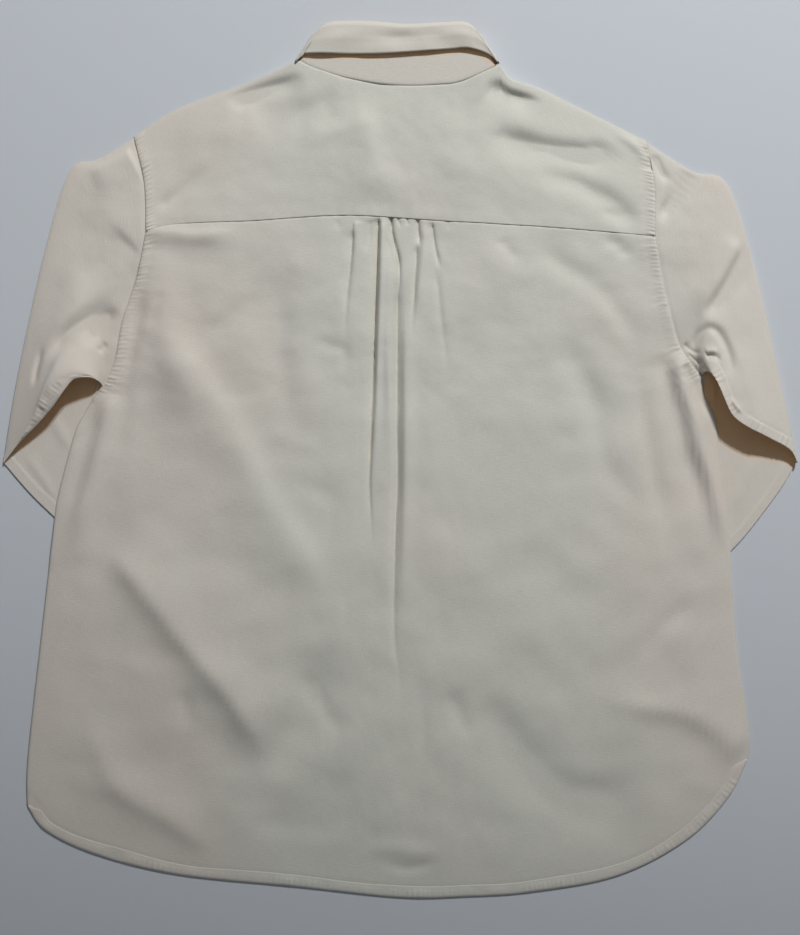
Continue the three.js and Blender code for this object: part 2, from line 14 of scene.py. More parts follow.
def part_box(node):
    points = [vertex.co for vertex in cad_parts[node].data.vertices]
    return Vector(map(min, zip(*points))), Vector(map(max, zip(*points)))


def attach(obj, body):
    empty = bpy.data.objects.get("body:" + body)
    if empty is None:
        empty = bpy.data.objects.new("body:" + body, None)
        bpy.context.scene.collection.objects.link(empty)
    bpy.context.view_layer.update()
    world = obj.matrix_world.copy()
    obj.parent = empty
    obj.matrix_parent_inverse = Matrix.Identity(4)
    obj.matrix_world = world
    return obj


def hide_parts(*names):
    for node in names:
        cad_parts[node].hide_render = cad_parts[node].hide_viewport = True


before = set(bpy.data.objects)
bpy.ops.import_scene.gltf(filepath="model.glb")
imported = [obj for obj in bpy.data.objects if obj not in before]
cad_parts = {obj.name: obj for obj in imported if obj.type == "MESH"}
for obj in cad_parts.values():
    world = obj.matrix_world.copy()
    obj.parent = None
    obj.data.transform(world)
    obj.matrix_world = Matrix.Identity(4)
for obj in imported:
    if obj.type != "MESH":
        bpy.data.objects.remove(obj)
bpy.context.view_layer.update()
scene = bpy.context.scene

BACK_WIDTH = 666.7      # the back's width in these tables
back_low, back_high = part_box("back")
MM = (back_high[0] - back_low[0]) / BACK_WIDTH

# ---- sizes in millimetres ----

CLOTH = 0.75            # thickness of the shown cloth
LAYER = 0.9             # height of the top layer's underside where it lies flat
AIR = 5.5               # how far the top layer bulges over the bottom one
AIR_REACH = 35          # distance from an edge over which it rises
EDGE_ROLL = 0.4         # extra height of the rounded edges
EDGE_REACH = 4
NECK_LEVEL = 7.6        # the collar holds the yoke this high round the neck
NECK_CENTRE = (0, 345)
NECK_HALF = (88, 62)
NECK_REACH = 70
BAND = 7.0              # width of the seam allowance sewn down beside the armhole
HEM = 11.0              # width of the turned hem at the bottom
SLEEVE_HEM = 9.5
HEM_STEP = 1.6          # distance between the columns of the turned hem
COLLAR_DEPTH = 50       # of its stand and of its leaf, in the flat cloth
LEAF_LEVEL = 5.5        # height over the stand of the leaf's edge, for its shadow
UNEVEN = [(1.3, 60, 3), (0.45, 26, 8), (0.14, 11, 5)]  # height, size and seed of each noise
LIGHT_PLACE = np.array([920, 2200, 2160])
SHADOW_BLUR = 2         # width of the soft edge of the collar's and the mouths' shadows

# ---- outlines ----

# side is the sign of x, mouth_lift how high the sleeve's mouth stands open, tip_lift the share
# of it at the outer fold and under_body the y between which the body lies on the sleeve. Only
# a hem that turns down from a ridge has a hem_edge.

YOKE_SEAM = [(-234, 211), (-205, 218), (-135, 221), (-51, 226), (41, 221), (141, 215), (235, 207)]
NECK_SEAM = [(-92, 368), (-80, 362), (-58, 354.5), (-46, 351.5), (-20, 347), (8, 345), (33, 346),
    (56, 349), (88, 363)]
BACK_HEM = [(-345, -318), (-328, -342), (-279, -365), (-204, -383), (-96, -394), (1, -404), (63, -403),
    (121, -399), (201, -384), (265, -351), (305, -310), (322, -275)]
LEFT = {
    "side": -1,
    "shoulder": [(-246, 298), (-206, 324), (-147, 346), (-110, 360.5), (-97, 368)],
    "armhole_top": [(-246, 298), (-236, 256), (-234, 211)],
    "armhole_bottom": [(-234, 211), (-242, 172), (-256, 129), (-262, 97), (-269, 78), (-279, 64)],
    "body_side": [(-279, 64), (-287, 52), (-294, 40), (-300, 28), (-306, 7), (-316, -32), (-320, -60),
        (-332, -164), (-344, -273), (-345, -318)],
    "sleeve_fold": [(-246, 298), (-280, 278), (-305, 268), (-327, 197), (-352, 82), (-366, -2)],
    "upper_hem": [(-275, 73), (-285, 78), (-301, 77), (-323, 66), (-336, 39), (-351, 16), (-366, -2)],
    "lower_hem": [(-270.5, 72.5), (-274, 62), (-279, 45), (-290, 5), (-301, -40), (-310, -58),
        (-320, -50), (-342, -29), (-366, -2)],
    "hem_edge": [(-275, 72), (-283, 76), (-296, 74), (-304, 65), (-313, 53), (-322, 43), (-333, 32),
        (-350, 16), (-366, -2)],
    "underarm": (-274, 66),
    "neck_edge": [(-88, 363), (-72, 336), (-3, 212)],
    "mouth_lift": 20,
    "tip_lift": 0.08,
    "under_body": (-80, 78),
}
RIGHT = {
    "side": 1,
    "shoulder": [(228, 294), (184, 316), (137, 339), (120, 345.5), (103, 350), (97, 356), (91, 365)],
    "armhole_top": [(228, 294), (235, 254), (235, 207)],
    "armhole_bottom": [(235, 207), (245, 153), (256, 111), (268, 90), (279, 78)],
    "body_side": [(279, 78), (280.5, 62), (286, 51), (292, 37), (295, 5), (304, -61), (306, -90),
        (311, -165), (323, -250), (322, -275)],
    "sleeve_fold": [(228, 294), (270, 267), (302, 255), (327, 178), (351, 70), (366, -2)],
    "upper_hem": [(283, 84), (288, 74), (294.5, 57), (303, 41), (318, 30), (339, 20), (358, 10),
        (366, -2)],
    "lower_hem": [(284, 84), (283, 50), (284, 5), (291, -60), (298, -90), (306, -84), (324, -64),
        (353, -25), (366, -2)],
    "underarm": (279, 79),
    "neck_edge": [(88, 362), (72, 333), (3, 212)],
    "mouth_lift": 20,
    "tip_lift": 0.27,
    "under_body": (-110, 92),
}

# Where a column of the back crosses the yoke seam and where it reaches the hem.
COLUMN_SEAM = [-234, -205, -152, -100, -60, -35, -10, 14, 45, 80, 127, 181, 235]
COLUMN_HEM = [-345, -300, -205, -130, -72, -40, -11, 22, 64, 115, 175, 255, 322]

# ---- creases ----

# A line that the cloth rises or sinks along: its points, its height, how wide each flank is
# on the left and on the right of its travel, over what share of its length it starts and
# ends, and its shape: 2 is round and 1 is sharp.
Crease = namedtuple("Crease", "points rise left right start end shape", defaults=(0.3, 0.3, 2))


def table_of(*rows):
    return [Crease(*row) for row in rows]


GATHERS = table_of(
    ([(-43, 214), (-45, 189), (-46, 176), (-48, 159), (-49, 145), (-51, 111)],
     -3.2, 2, 4, 0.1, 0.6, 1.2),
    ([(-41, 222), (-42, 205), (-43, 180)], 1.7, 6, 1.5, 0.1, 0.6),
    ([(-27, 222), (-28, 202), (-32, 187)], -1.4, 2, 3, 0.1, 0.6, 1.2),
    ([(-19.5, 225), (-20, 205), (-21.5, 159), (-23, 120), (-24.5, 74), (-26.5, 22), (-28, -18),
     (-26, -59), (-24, -85)], -5.5, 1.0, 4, 0.02, 0.35, 1),
    ([(-16, 225), (-17, 200), (-18, 159), (-20, 100), (-22, 40), (-24, -30)], 3.2, 4, 2.2, 0.05, 0.6),
    ([(-14, 208), (-10, 197), (-5, 174)], -1.2, 2, 2, 0.2, 0.5, 1),
    ([(-8, 225), (-7, 212), (-4, 198), (-1, 187), (-0.5, 174), (-0.5, 150)], -5, 1.1, 2, 0.03, 0.4, 1),
    ([(-2, 174), (-2.5, 120), (-3, 37), (-2.5, -18), (-4.5, -66), (-5.5, -155), (-1.5, -192),
     (3, -237)], -5.5, 3.2, 3, 0.08, 0.5, 1.2),
    ([(-11, 215), (-11, 180), (-12, 120), (-10, 56), (-9, 0)], 2.3, 5, 5, 0.2, 0.5),
    ([(6, 160), (5, 90), (5, 20), (4, -60), (3, -160)], 2.8, 8, 3.4, 0.3, 0.5),
    ([(-2, 224), (0.5, 215)], -1.6, 1.5, 1.5, 0.2, 0.4, 1),
    ([(6, 224), (8, 216)], -1.4, 1.5, 1.5, 0.2, 0.4, 1),
    ([(16.6, 223), (17, 214), (18.4, 198)], -3.6, 1.2, 2, 0.1, 0.4, 1),
    ([(15.8, 200), (13.8, 166), (12, 134), (11, 110)], -3.8, 1.3, 2.2, 0.1, 0.6, 1),
    ([(22, 220), (22, 200), (19, 170), (16, 130)], 1.9, 5, 3, 0.15, 0.5),
    ([(29.5, 220), (31, 208), (33, 194), (37.4, 176)], -3.4, 1.1, 2, 0.1, 0.3, 1),
    ([(32, 180), (35, 160), (38, 130), (42, 100), (44, 70)], -1.7, 3, 4, 0.2, 0.6, 1.3),
    ([(44, 222), (45, 212)], -0.8, 2, 2, 0.2, 0.4, 1),
    ([(-57, 222), (-58, 212)], -0.8, 2, 2, 0.2, 0.4, 1),
    ([(21, -200), (22, -288)], -0.8, 6, 6),
    ([(-28, -24), (-2, -18)], 0.5, 1.5, 2),
)

YOKE_CREASES = table_of(
    ([(-160, 332), (-142, 338), (-127, 343), (-111, 347), (-97, 349), (-84, 349)],
     -5.2, 6, 12, 0.2, 0.3),
    ([(-80, 340), (-70, 325), (-60, 300)], -3.2, 14, 16, 0.3, 0.4),
    ([(-140, 312), (-105, 322), (-72, 318)], -3.6, 17, 26),
    ([(80, 349), (88, 345), (97, 340), (109, 336), (120, 333), (132, 328)], -5.4, 4, 14, 0.15, 0.4),
    ([(-46, 336), (-31, 295), (-12, 235)], 4.2, 15, 28),
    ([(-225, 236), (-216, 238), (-207, 244), (-196, 254), (-187, 263), (-173, 274)],
     -2.5, 6, 6, 0.1, 0.5),
    ([(70, 299), (97, 297), (129, 290), (147, 287), (166, 284), (175, 284), (184, 289), (191, 298)],
     -5.6, 8, 20, 0.3, 0.15),
    ([(202, 306), (215, 295), (225, 284), (232, 273)], 3.2, 18, 5, 0.2, 0.2),
    ([(226, 292), (228, 283), (231, 274), (232, 266)], -4.1, 4, 4, 0.2, 0.2),
    ([(112, 261), (138, 261), (161, 257), (175, 250), (190, 243), (200, 236), (207, 228), (215, 223),
     (224, 221)], -3.4, 8, 11, 0.4, 0.15),
    ([(185, 230), (203, 225)], -1.2, 5, 5),
)

BACK_CREASES = table_of(
    ([(-234, 211), (-211, 210), (-191, 207), (-168, 208), (-142, 210)], 3.2, 7, 9, 0.1, 0.4),
    ([(184, 203), (200, 200), (205, 194), (213, 185)], -2.1, 6, 6),
    ([(-219, 161), (-225, 139), (-231, 118)], -1.8, 5, 5),
    ([(-108, 150), (-106, 72)], -0.8, 8, 8),
    ([(-186, 109), (-155, 134), (-122, 159)], -1.7, 10, 10),
    ([(-85, 112), (-66, 107), (-51, 100), (-57, 80)], -1.2, 6, 6),
    ([(-281, 47), (-286, 19), (-296, -18), (-306, -54)], -1.8, 5, 9, 0.1, 0.3),
    ([(-297, 30), (-288, 42), (-279, 54)], -2.9, 2.5, 2, 0.2, 0.3, 1.3),
    ([(-302, 12), (-290, 26), (-281, 34)], -2.1, 3, 3, 0.2, 0.3),
    ([(-266, 64), (-270, 47), (-275, 19), (-285, -18), (-296, -54), (-303, -85)], 4.6, 12, 6, 0.1, 0.3),
    ([(-230, 203), (-216, 120), (-184, 37)], 3.9, 20, 16, 0.3, 0.4),
    ([(-106, 194), (-115, 102), (-92, 10)], -3.4, 16, 20, 0.3, 0.4),
    ([(-64, -165), (-92, -239), (-129, -303)], -3.9, 18, 18, 0.3, 0.4),
    ([(147, 120), (170, 75), (202, 19)], -3.1, 12, 16, 0.3, 0.4),
    ([(-238, 67), (-246, 37), (-253, 8)], 1.7, 6, 6, 0.3, 0.4),
    ([(-234, 164), (-247, 102), (-259, 36)], -2.9, 5, 6, 0.3, 0.5),
    ([(-225, 125), (-205, 98), (-183, 69), (-155, 23), (-132, -23), (-110, -59), (-87, -96),
     (-68, -133), (-50, -180)], 5.0, 15, 28, 0.15, 0.35),
    ([(-129, 28), (-64, 5)], 1.2, 8, 8),
    ([(-101, -18), (-46, -41)], -1.2, 8, 8),
    ([(-94, -191), (-72, -225), (-49, -260)], -2.1, 9, 9),
    ([(91, 205), (111, 181)], -1.4, 5, 5, 0.2, 0.4),
    ([(120, 203), (147, 183), (184, 157), (207, 128), (225, 93)], -2.3, 10, 9, 0.2, 0.3),
    ([(170, 83), (179, 47), (189, 1), (207, -27), (232, -56)], -2.1, 10, 10),
    ([(216, 93), (230, 10), (239, -36), (250, -93)], -2.3, 8, 8, 0.3, 0.4),
    ([(152, 30), (157, 11)], -0.9, 5, 5),
    ([(81, -76), (144, -70)], 1.2, 12, 12),
    ([(253, 102), (259, 72), (268, 44), (274, 16), (287, -20), (298, -56), (304, -85)],
      7.5, 12, 7, 0.1, 0.25),
    ([(243, 102), (249, 72), (258, 44), (264, 16), (277, -20), (288, -56)], -3.0, 6, 14, 0.1, 0.3),
    ([(261, 90), (270, 66), (286, 40)], -5, 4, 3, 0.1, 0.3, 1.5),
    ([(-269, -80), (-236, -119), (-198, -168), (-167, -203), (-145, -233), (-127, -264), (-113, -286)],
      10, 40, 15, 0.15, 0.25, 1.3),
    ([(-202, -209), (-193, -250)], -1.8, 6, 6),
    ([(-292, -213), (-277, -268), (-258, -303), (-213, -331), (-166, -365)],
      4.2, 22, 11, 0.3, 0.2, 1.5),
    ([(-140, -331), (-53, -344)], -0.9, 10, 10),
    ([(173, -219), (221, -226), (276, -239), (319, -277)], 4.6, 18, 9, 0.35, 0.1, 1.5),
    ([(219, -191), (239, -156), (278, -126)], -1.8, 9, 9),
    ([(45, -209), (65, -259)], -1.7, 8, 8),
    ([(62, -195), (100, -258), (145, -302), (193, -314), (235, -305)], -5.2, 20, 28),
    ([(256, -294), (281, -301), (305, -310)], 0.9, 6, 6),
    ([(-45, -366), (-15, -358), (20, -362), (52, -356)], 1.8, 8, 5, 0.4, 0.4),
    ([(-20, -372), (10, -376), (38, -368)], -1.3, 4, 5, 0.4, 0.4),
)

SLEEVE_CREASES = table_of(
    ([(-246, 284), (-265, 275), (-290, 264)], 4.0, 20, 8, 0.1, 0.3),
    ([(-250, 207), (-276, 183), (-301, 155)], -2.8, 14, 14, 0.1, 0.4),
    ([(-258, 150), (-284, 132), (-304, 115), (-324, 90)], -5.6, 14, 7, 0.5, 0.35),
    ([(-268, 163), (-294, 144), (-314, 125), (-333, 100)], 2.6, 7, 12, 0.5, 0.4),
    ([(-260, 141), (-276, 125), (-287, 100)], -3.6, 6, 6, 0.3, 0.4),
    ([(-328, 105), (-333, 87), (-336, 69)], -2.8, 3, 3, 0.3, 0.2),
    ([(-270, 109), (-278, 99)], -2, 3, 3),
    ([(270, 267), (263, 257), (255, 243), (245, 229), (240, 218)], -5.7, 4, 6, 0.1, 0.3),
    ([(325, 201), (314, 184), (303, 165), (291, 147), (279, 128)], -5.6, 13, 6, 0.15, 0.3),
    ([(316, 204), (306, 188), (295, 169), (283, 151), (271, 132)], 3.6, 6, 13, 0.15, 0.3),
    ([(235, 284), (241, 267), (250, 257)], -2.8, 4, 4, 0.2, 0.3),
    ([(267, 95), (273, 111), (282, 121), (291, 119), (298, 106), (302, 91), (301, 72)],
     -3.4, 4, 4, 0.2, 0.3),
    ([(279, 96), (284, 97), (289, 96), (294, 91)], -3.4, 1.6, 2.6, 0.2, 0.3, 1),
    ([(279, 99), (285, 100), (291, 98)], 2.2, 3, 2, 0.2, 0.3),
    ([(262, 108), (270, 101), (278, 99)], -2.2, 1.8, 2, 0.1, 0.3, 1),
    ([(266, 99), (273, 92), (280, 90)], -2, 1.6, 2, 0.1, 0.3, 1),
    ([(300, 57), (306, 49), (312, 43)], 2.8, 1.5, 1.5, 0.3, 0.3, 1),
)

# The hidden lower layers have creases of the same kind, but shallow.
FRONT_CREASES = table_of(
    ([(-180, 120), (-130, 20), (-120, -120)], 0.9, 16, 12),
    ([(150, 90), (110, -40), (140, -210)], 0.8, 14, 18),
    ([(-250, -150), (-160, -260)], 0.7, 15, 12),
)
SLEEVE_UNDER_CREASES = table_of(
    ([(-324, 45), (-315, 28), (-303, 8)], 1.0, 5, 5),
    ([(-348, 8), (-331, -15), (-316, -39)], 0.8, 4, 4),
    ([(330, 10), (318, -20), (306, -50)], 1.0, 6, 5),
)

# ---- lines ----


def smooth(value, low, high):
    """0 up to low and 1 from high on, with a smooth step between them."""
    t = np.clip((np.asarray(value, float) - low) / (high - low), 0, 1)
    return t * t * (3 - 2 * t)


def hump(distance, half):
    """1 where the distance is 0, falling away smoothly to both sides."""
    return np.exp(-(distance / half) ** 2)


def smooth_line(points, per_part=24):
    """Dense points along a smooth curve through the given ones."""
    points = np.asarray(points, float)
    ends = np.vstack([points[0], points, points[-1]])
    t = np.linspace(0, 1, per_part, endpoint=False)[:, None]
    parts = []
    for a, b, c, d in zip(ends, ends[1:], ends[2:], ends[3:]):
        parts.append(0.5 * (2 * b + (c - a) * t + (2 * a - 5 * b + 4 * c - d) * t ** 2
                            + (3 * b - a - 3 * c + d) * t ** 3))
    return np.vstack(parts + [points[-1]])


def lengths(line):
    """The length along a line up to each of its points."""
    return np.concatenate([[0], np.cumsum(np.linalg.norm(np.diff(line, axis=0), axis=1))])


def at_shares(line, shares):
    """Points at the given shares of a line's length."""
    run = lengths(line)
    wanted = np.asarray(shares) * run[-1]
    return np.stack([np.interp(wanted, run, line[:, k]) for k in range(line.shape[1])], -1)


def at_x(line, x):
    return np.stack([x, np.interp(x, line[:, 0], line[:, 1])], -1)


def graded(start, end, spacing):
    """Values from start to end, spacing(value) apart."""
    fine = np.linspace(start, end, 4001)
    middle = (fine[1:] + fine[:-1]) / 2
    load = np.concatenate([[0], np.cumsum(np.diff(fine) / spacing(middle))])
    count = int(round(load[-1]))
    return np.interp(np.linspace(0, load[-1], count + 1), load, fine)


def graded_rows(length, step, fine_step, low, high):
    """Shares of a length: step apart, or fine_step apart below the share low and above high."""
    return graded(0, 1, lambda share: np.where((share < low) | (share > high), fine_step, step)
                  / length)


def to_line(x, y, line):
    """For points x, y: distance to a line, whether they are on its left (1) or right (-1),
    and the length along the line of the nearest point."""
    run = lengths(line)
    best = np.full(np.shape(x), np.inf)
    side = np.ones(np.shape(x))
    along = np.zeros(np.shape(x))
    for k, (a, b) in enumerate(zip(line, line[1:])):
        way = b - a
        size = max(float(np.hypot(*way)), 1e-9)
        t = np.clip(((x - a[0]) * way[0] + (y - a[1]) * way[1]) / size ** 2, 0, 1)
        dx, dy = x - a[0] - t * way[0], y - a[1] - t * way[1]
        distance = np.hypot(dx, dy)
        near = distance < best
        best = np.where(near, distance, best)
        side = np.where(near, np.sign(way[0] * dy - way[1] * dx), side)
        along = np.where(near, run[k] + t * size, along)
    return best, side, along


def patch(top, bottom, left, right, across, down):
    """Grid of points between four lines. across and down are the shares of the columns and
    of the rows; top and bottom have a point for each column, left and right for each row."""
    u, v = across[:, None, None], down[None, :, None]
    between = (1 - v) * top[:, None] + v * bottom[:, None]
    left_pull = left[None] - ((1 - v) * top[0] + v * bottom[0])
    right_pull = right[None] - ((1 - v) * top[-1] + v * bottom[-1])
    return between + (1 - u) * left_pull + u * right_pull


def unit(ways):
    return ways / np.maximum(np.linalg.norm(ways, axis=-1, keepdims=True), 1e-9)


def outward_normals(line, turn):
    """Level normals of a line, to the left of its travel where turn is 1."""
    way = unit(np.gradient(line, axis=0))
    return np.stack([-way[:, 1], way[:, 0]], -1) * turn


HEM_OUTLINE = smooth_line(BACK_HEM, 10)
OUTER_LINES = [
    smooth_line(cut[name], 10)
    for cut in (LEFT, RIGHT) for name in ("body_side", "sleeve_fold", "shoulder")
] + [HEM_OUTLINE]
ARMHOLES = [
    np.vstack([smooth_line(cut["armhole_top"], 16)[:-1], smooth_line(cut["armhole_bottom"], 16)])
    for cut in (LEFT, RIGHT)
]
SEAM_LINE = smooth_line(YOKE_SEAM)
HEM_LINE = smooth_line(BACK_HEM)

# ---- heights ----


def crease_height(x, y, creases):
    height = np.zeros(np.shape(x))
    for crease in creases:
        line = smooth_line(crease.points, 4)
        reach = 3 * max(crease.left, crease.right)
        low, high = line.min(0) - reach, line.max(0) + reach
        near = (x > low[0]) & (x < high[0]) & (y > low[1]) & (y < high[1])
        if not near.any():
            continue
        distance, side, along = to_line(x[near], y[near], line)
        share = along / lengths(line)[-1]
        half = np.where(side > 0, crease.left, crease.right)
        ends = smooth(share, 0, crease.start) * (1 - smooth(share, 1 - crease.end, 1))
        height[near] += crease.rise * ends * np.exp(-(distance / half) ** crease.shape)
    return height


def unevenness(x, y, size, seed):
    """Smooth noise from about -1 to 1, changing over a distance of size."""
    x, y = np.broadcast_arrays(x, y)
    flat = np.stack([np.ravel(x) / size, np.ravel(y) / size], -1)
    values = [noise.noise(Vector((a, b, seed))) for a, b in flat]
    return 2 * np.reshape(values, np.shape(x))


def ladder(along, pitch, seed):
    """Uneven small puckers along a seam, from 0 to 1."""
    rng = np.random.default_rng(seed)
    count = int(np.max(along) / pitch) + 3
    spots = np.cumsum(pitch * rng.uniform(0.7, 1.3, count)) - pitch
    depths = rng.uniform(0.45, 1.0, count)
    nearest = np.clip(np.searchsorted(spots, along), 1, count - 1)
    before, after = spots[nearest - 1], spots[nearest]
    phase = (along - before) / np.maximum(after - before, 1e-6)
    return depths[nearest] * np.sin(np.pi * phase) ** 2


def in_shadow(x, y, edge, heights, lit_side):
    """1 where the cloth lies in the shadow of a raised edge, and 0 outside it. lit_side is
    the side of the edge's travel that the cloth casting the shadow is on."""
    drop = np.asarray(heights)[..., None] / LIGHT_PLACE[2]
    line = edge - (LIGHT_PLACE[:2] - edge) * drop
    distance, side, _ = to_line(x, y, line)
    return smooth(side * lit_side * distance, 0, SHADOW_BLUR)


def sleeve_lift(x, y):
    """One more layer where the body's sides lie over the lower layer of the sleeves."""
    lift = np.zeros(np.shape(x))
    for cut in (LEFT, RIGHT):
        low, high = cut["under_body"]
        window = smooth(y, low - 26, low - 4) * (1 - smooth(y, high, high + 18))
        inside = to_line(x, y, smooth_line(cut["body_side"], 8))[0]
        lift += LAYER * window * (1 - smooth(inside, 30, 55)) * (x * cut["side"] > 0)
    return lift


def neck_share(x, y):
    """1 at the neck, falling to 0 at NECK_REACH from it."""
    out_x = np.maximum(0, np.abs(x - NECK_CENTRE[0]) - NECK_HALF[0])
    out_y = np.maximum(0, np.abs(y - NECK_CENTRE[1]) - NECK_HALF[1])
    return 1 - smooth(np.hypot(out_x, out_y), 0, NECK_REACH)


def edge_distance(x, y):
    """Distance to the outline, halved near the hem, where the cloth lies flatter."""
    to_outline = [to_line(x, y, line)[0] for line in OUTER_LINES]
    to_outline[-1] = to_outline[-1] / 2
    return np.min(to_outline, axis=0)


def top_height(x, y, creases):
    """Height of the underside of the top layer."""
    inside = edge_distance(x, y)
    bulge = 1 - np.exp(-inside / AIR_REACH)
    near_edge = np.clip(inside / EDGE_REACH, 0, 1)
    rolled = EDGE_ROLL * np.sqrt(1 - (1 - near_edge) ** 2)
    height = LAYER + sleeve_lift(x, y) + AIR * bulge + rolled
    share = neck_share(x, y)
    height = (1 - share) * height + share * np.maximum(height, NECK_LEVEL)
    settled = smooth(inside, 0, AIR_REACH)
    for rise, size, seed in UNEVEN:
        height += settled * rise * unevenness(x, y, size, seed)
    height += smooth(inside, -1, 12) * crease_height(x, y, creases)
    return np.maximum(height, LAYER)


# ---- walls of cloth ----


def linked_mesh(name, points, faces):
    mesh = bpy.data.meshes.new(name)
    mesh.from_pydata(points, [], faces)
    obj = bpy.data.objects.new(name, mesh)
    scene.collection.objects.link(obj)
    return obj


def wall(name, outer, inner, weave, keep=None, wrap=False, painted_shade=None):
    """A closed shell between two matching grids of points, with a rim along every free edge.
    weave is the place of each point in the flat cloth, and the last argument, from 0 to 1, is how much
    painted shade a point gets: a warm tint laid where shadows fall in the shirt's hollows and deepest
    gathers."""
    across, down = outer.shape[:2]
    i, j = np.meshgrid(np.arange(across if wrap else across - 1), np.arange(down - 1),
                       indexing="ij")
    following = (i + 1) % across
    quads = np.stack([i * down + j, following * down + j, following * down + j + 1,
                      i * down + j + 1], -1).reshape(-1, 4)
    if keep is not None:
        quads = quads[keep.reshape(-1)]
    count = across * down
    edges = np.stack([quads, np.roll(quads, -1, axis=1)], -1).reshape(-1, 2)
    forwards = edges[:, 0] * count + edges[:, 1]
    backwards = edges[:, 1] * count + edges[:, 0]
    free = edges[~np.isin(forwards, backwards)]
    rim = np.stack([free[:, 1], free[:, 0], free[:, 0] + count, free[:, 1] + count], -1)
    faces = np.vstack([quads, quads[:, ::-1] + count, rim])
    points = np.vstack([outer.reshape(-1, 3), inner.reshape(-1, 3)])
    a, b, c, d = (points[faces[:, k]] for k in range(4))
    volume = np.sum(np.cross(a, b) * c) + np.sum(np.cross(a, c) * d)
    if volume < 0:
        faces = faces[:, ::-1]
    obj = linked_mesh(name, (points * MM).tolist(), faces.tolist())
    obj.data.polygons.foreach_set("use_smooth", np.arange(len(faces)) < 2 * len(quads))
    corner = np.empty(len(obj.data.loops), dtype=np.int32)
    obj.data.loops.foreach_get("vertex_index", corner)
    uv = np.vstack([weave.reshape(-1, 2)] * 2)[corner] * MM
    obj.data.uv_layers.new(name="cloth").data.foreach_set("uv", uv.astype(np.float32).ravel())
    depth = np.zeros(count) if painted_shade is None else np.ravel(painted_shade)
    layer = obj.data.attributes.new("painted_shade", "FLOAT", "POINT")
    layer.data.foreach_set("value", np.tile(depth, 2).astype(np.float32))
    return obj


def lifted(plan, height):
    """Points in space over the points of a plan."""
    return np.concatenate([plan, height[..., None]], -1)


def grid_of(across, down):
    """The place in the flat cloth of each point of a grid with these columns and rows."""
    return np.stack(np.meshgrid(across, down, indexing="ij"), -1)


def half_round(line, turn, height, bulge, angles):
    """Where cloth turns over along a line, from the top layer at a height down to the floor:
    rings of outer and of inner points, one for each angle."""
    outward = outward_normals(line, turn)
    middle = (height + CLOTH) / 2
    outer, inner = [], []
    for angle in angles:
        reach = np.cos(angle) * np.reshape(bulge, (-1, 1))
        outer.append(lifted(line + outward * reach, middle + middle * np.sin(angle)))
        inner.append(lifted(line + outward * (reach - CLOTH * np.cos(angle)),
                            middle + (middle - CLOTH) * np.sin(angle)))
    return np.stack(outer), np.stack(inner)


def half_turn(steps):
    """The angles of a half round between its two ends, from the top down."""
    return np.linspace(np.pi / 2, -np.pi / 2, steps + 1)[1:-1]


# ---- materials ----

NEUTRAL = (0.82, 0.825, 0.76)
PINKISH = (0.845, 0.785, 0.72)
NEUTRAL_MIDDLE = 0.05   # x in metres where the cloth is the most neutral
PINK_START = 0.08       # distance from there at which it starts to turn pinker
PINK_END = 0.30
WARM_THROUGH = (0.95, 0.62, 0.36)  # light that comes through the cloth
PAINTED_SHADE_TINT = (0.98, 0.66, 0.38)  # painted shade: warm colour laid where shadows fall in the shirt's hollows, for light that bounces about in them
SLUBS = (160, 1400, 1)  # threads a metre along and across the cloth
WARP = (1500, 170, 1)


def set_inputs(node, inputs):
    """Give each input its value, or link it to another node's output."""
    for key, value in inputs.items():
        if isinstance(value, bpy.types.NodeSocket):
            node.id_data.links.new(value, node.inputs[key])
        else:
            node.inputs[key].default_value = value


def add_node(tree, kind, inputs, **settings):
    node = tree.nodes.new("ShaderNode" + kind)
    for key, value in settings.items():
        setattr(node, key, value)
    set_inputs(node, inputs)
    return node


def cream_tone(tree, warmth):
    """The cloth's colour from its place: a slow drift, and pinker to the shirt's sides."""
    place = add_node(tree, "TexCoord", {}).outputs["Object"]
    drift = add_node(tree, "TexNoise", {"Vector": place, "Scale": 6, "Detail": 3})
    x = add_node(tree, "SeparateXYZ", {"Vector": place}).outputs["X"]
    from_middle = add_node(tree, "Math", {0: x, 1: -NEUTRAL_MIDDLE}, operation="ADD")
    outwards = add_node(tree, "Math", {0: from_middle.outputs["Value"]}, operation="ABSOLUTE")
    reach = add_node(tree, "MapRange", {
        "Value": outwards.outputs["Value"], "From Min": PINK_START, "From Max": PINK_END,
        "To Min": warmth - 0.5, "To Max": warmth,
    }, interpolation_type="SMOOTHSTEP")
    mixed = add_node(tree, "Math", {0: drift.outputs["Fac"], 1: 1, 2: reach.outputs["Result"]},
                     operation="MULTIPLY_ADD")
    tone = add_node(tree, "ValToRGB", {"Fac": mixed.outputs["Value"]})
    for element, color, position in zip(tone.color_ramp.elements, (NEUTRAL, PINKISH), (0.30, 0.95)):
        element.color = (*color, 1)
        element.position = position
    return tone.outputs["Color"]


def threads(tree, scale):
    """Long thin noise along the threads of one direction of the weave."""
    weave = add_node(tree, "UVMap", {}, uv_map="cloth").outputs["UV"]
    stretched = add_node(tree, "Mapping", {"Vector": weave, "Scale": scale})
    return add_node(tree, "TexNoise", {
        "Vector": stretched.outputs["Vector"], "Scale": 1, "Detail": 2,
    }).outputs["Fac"]


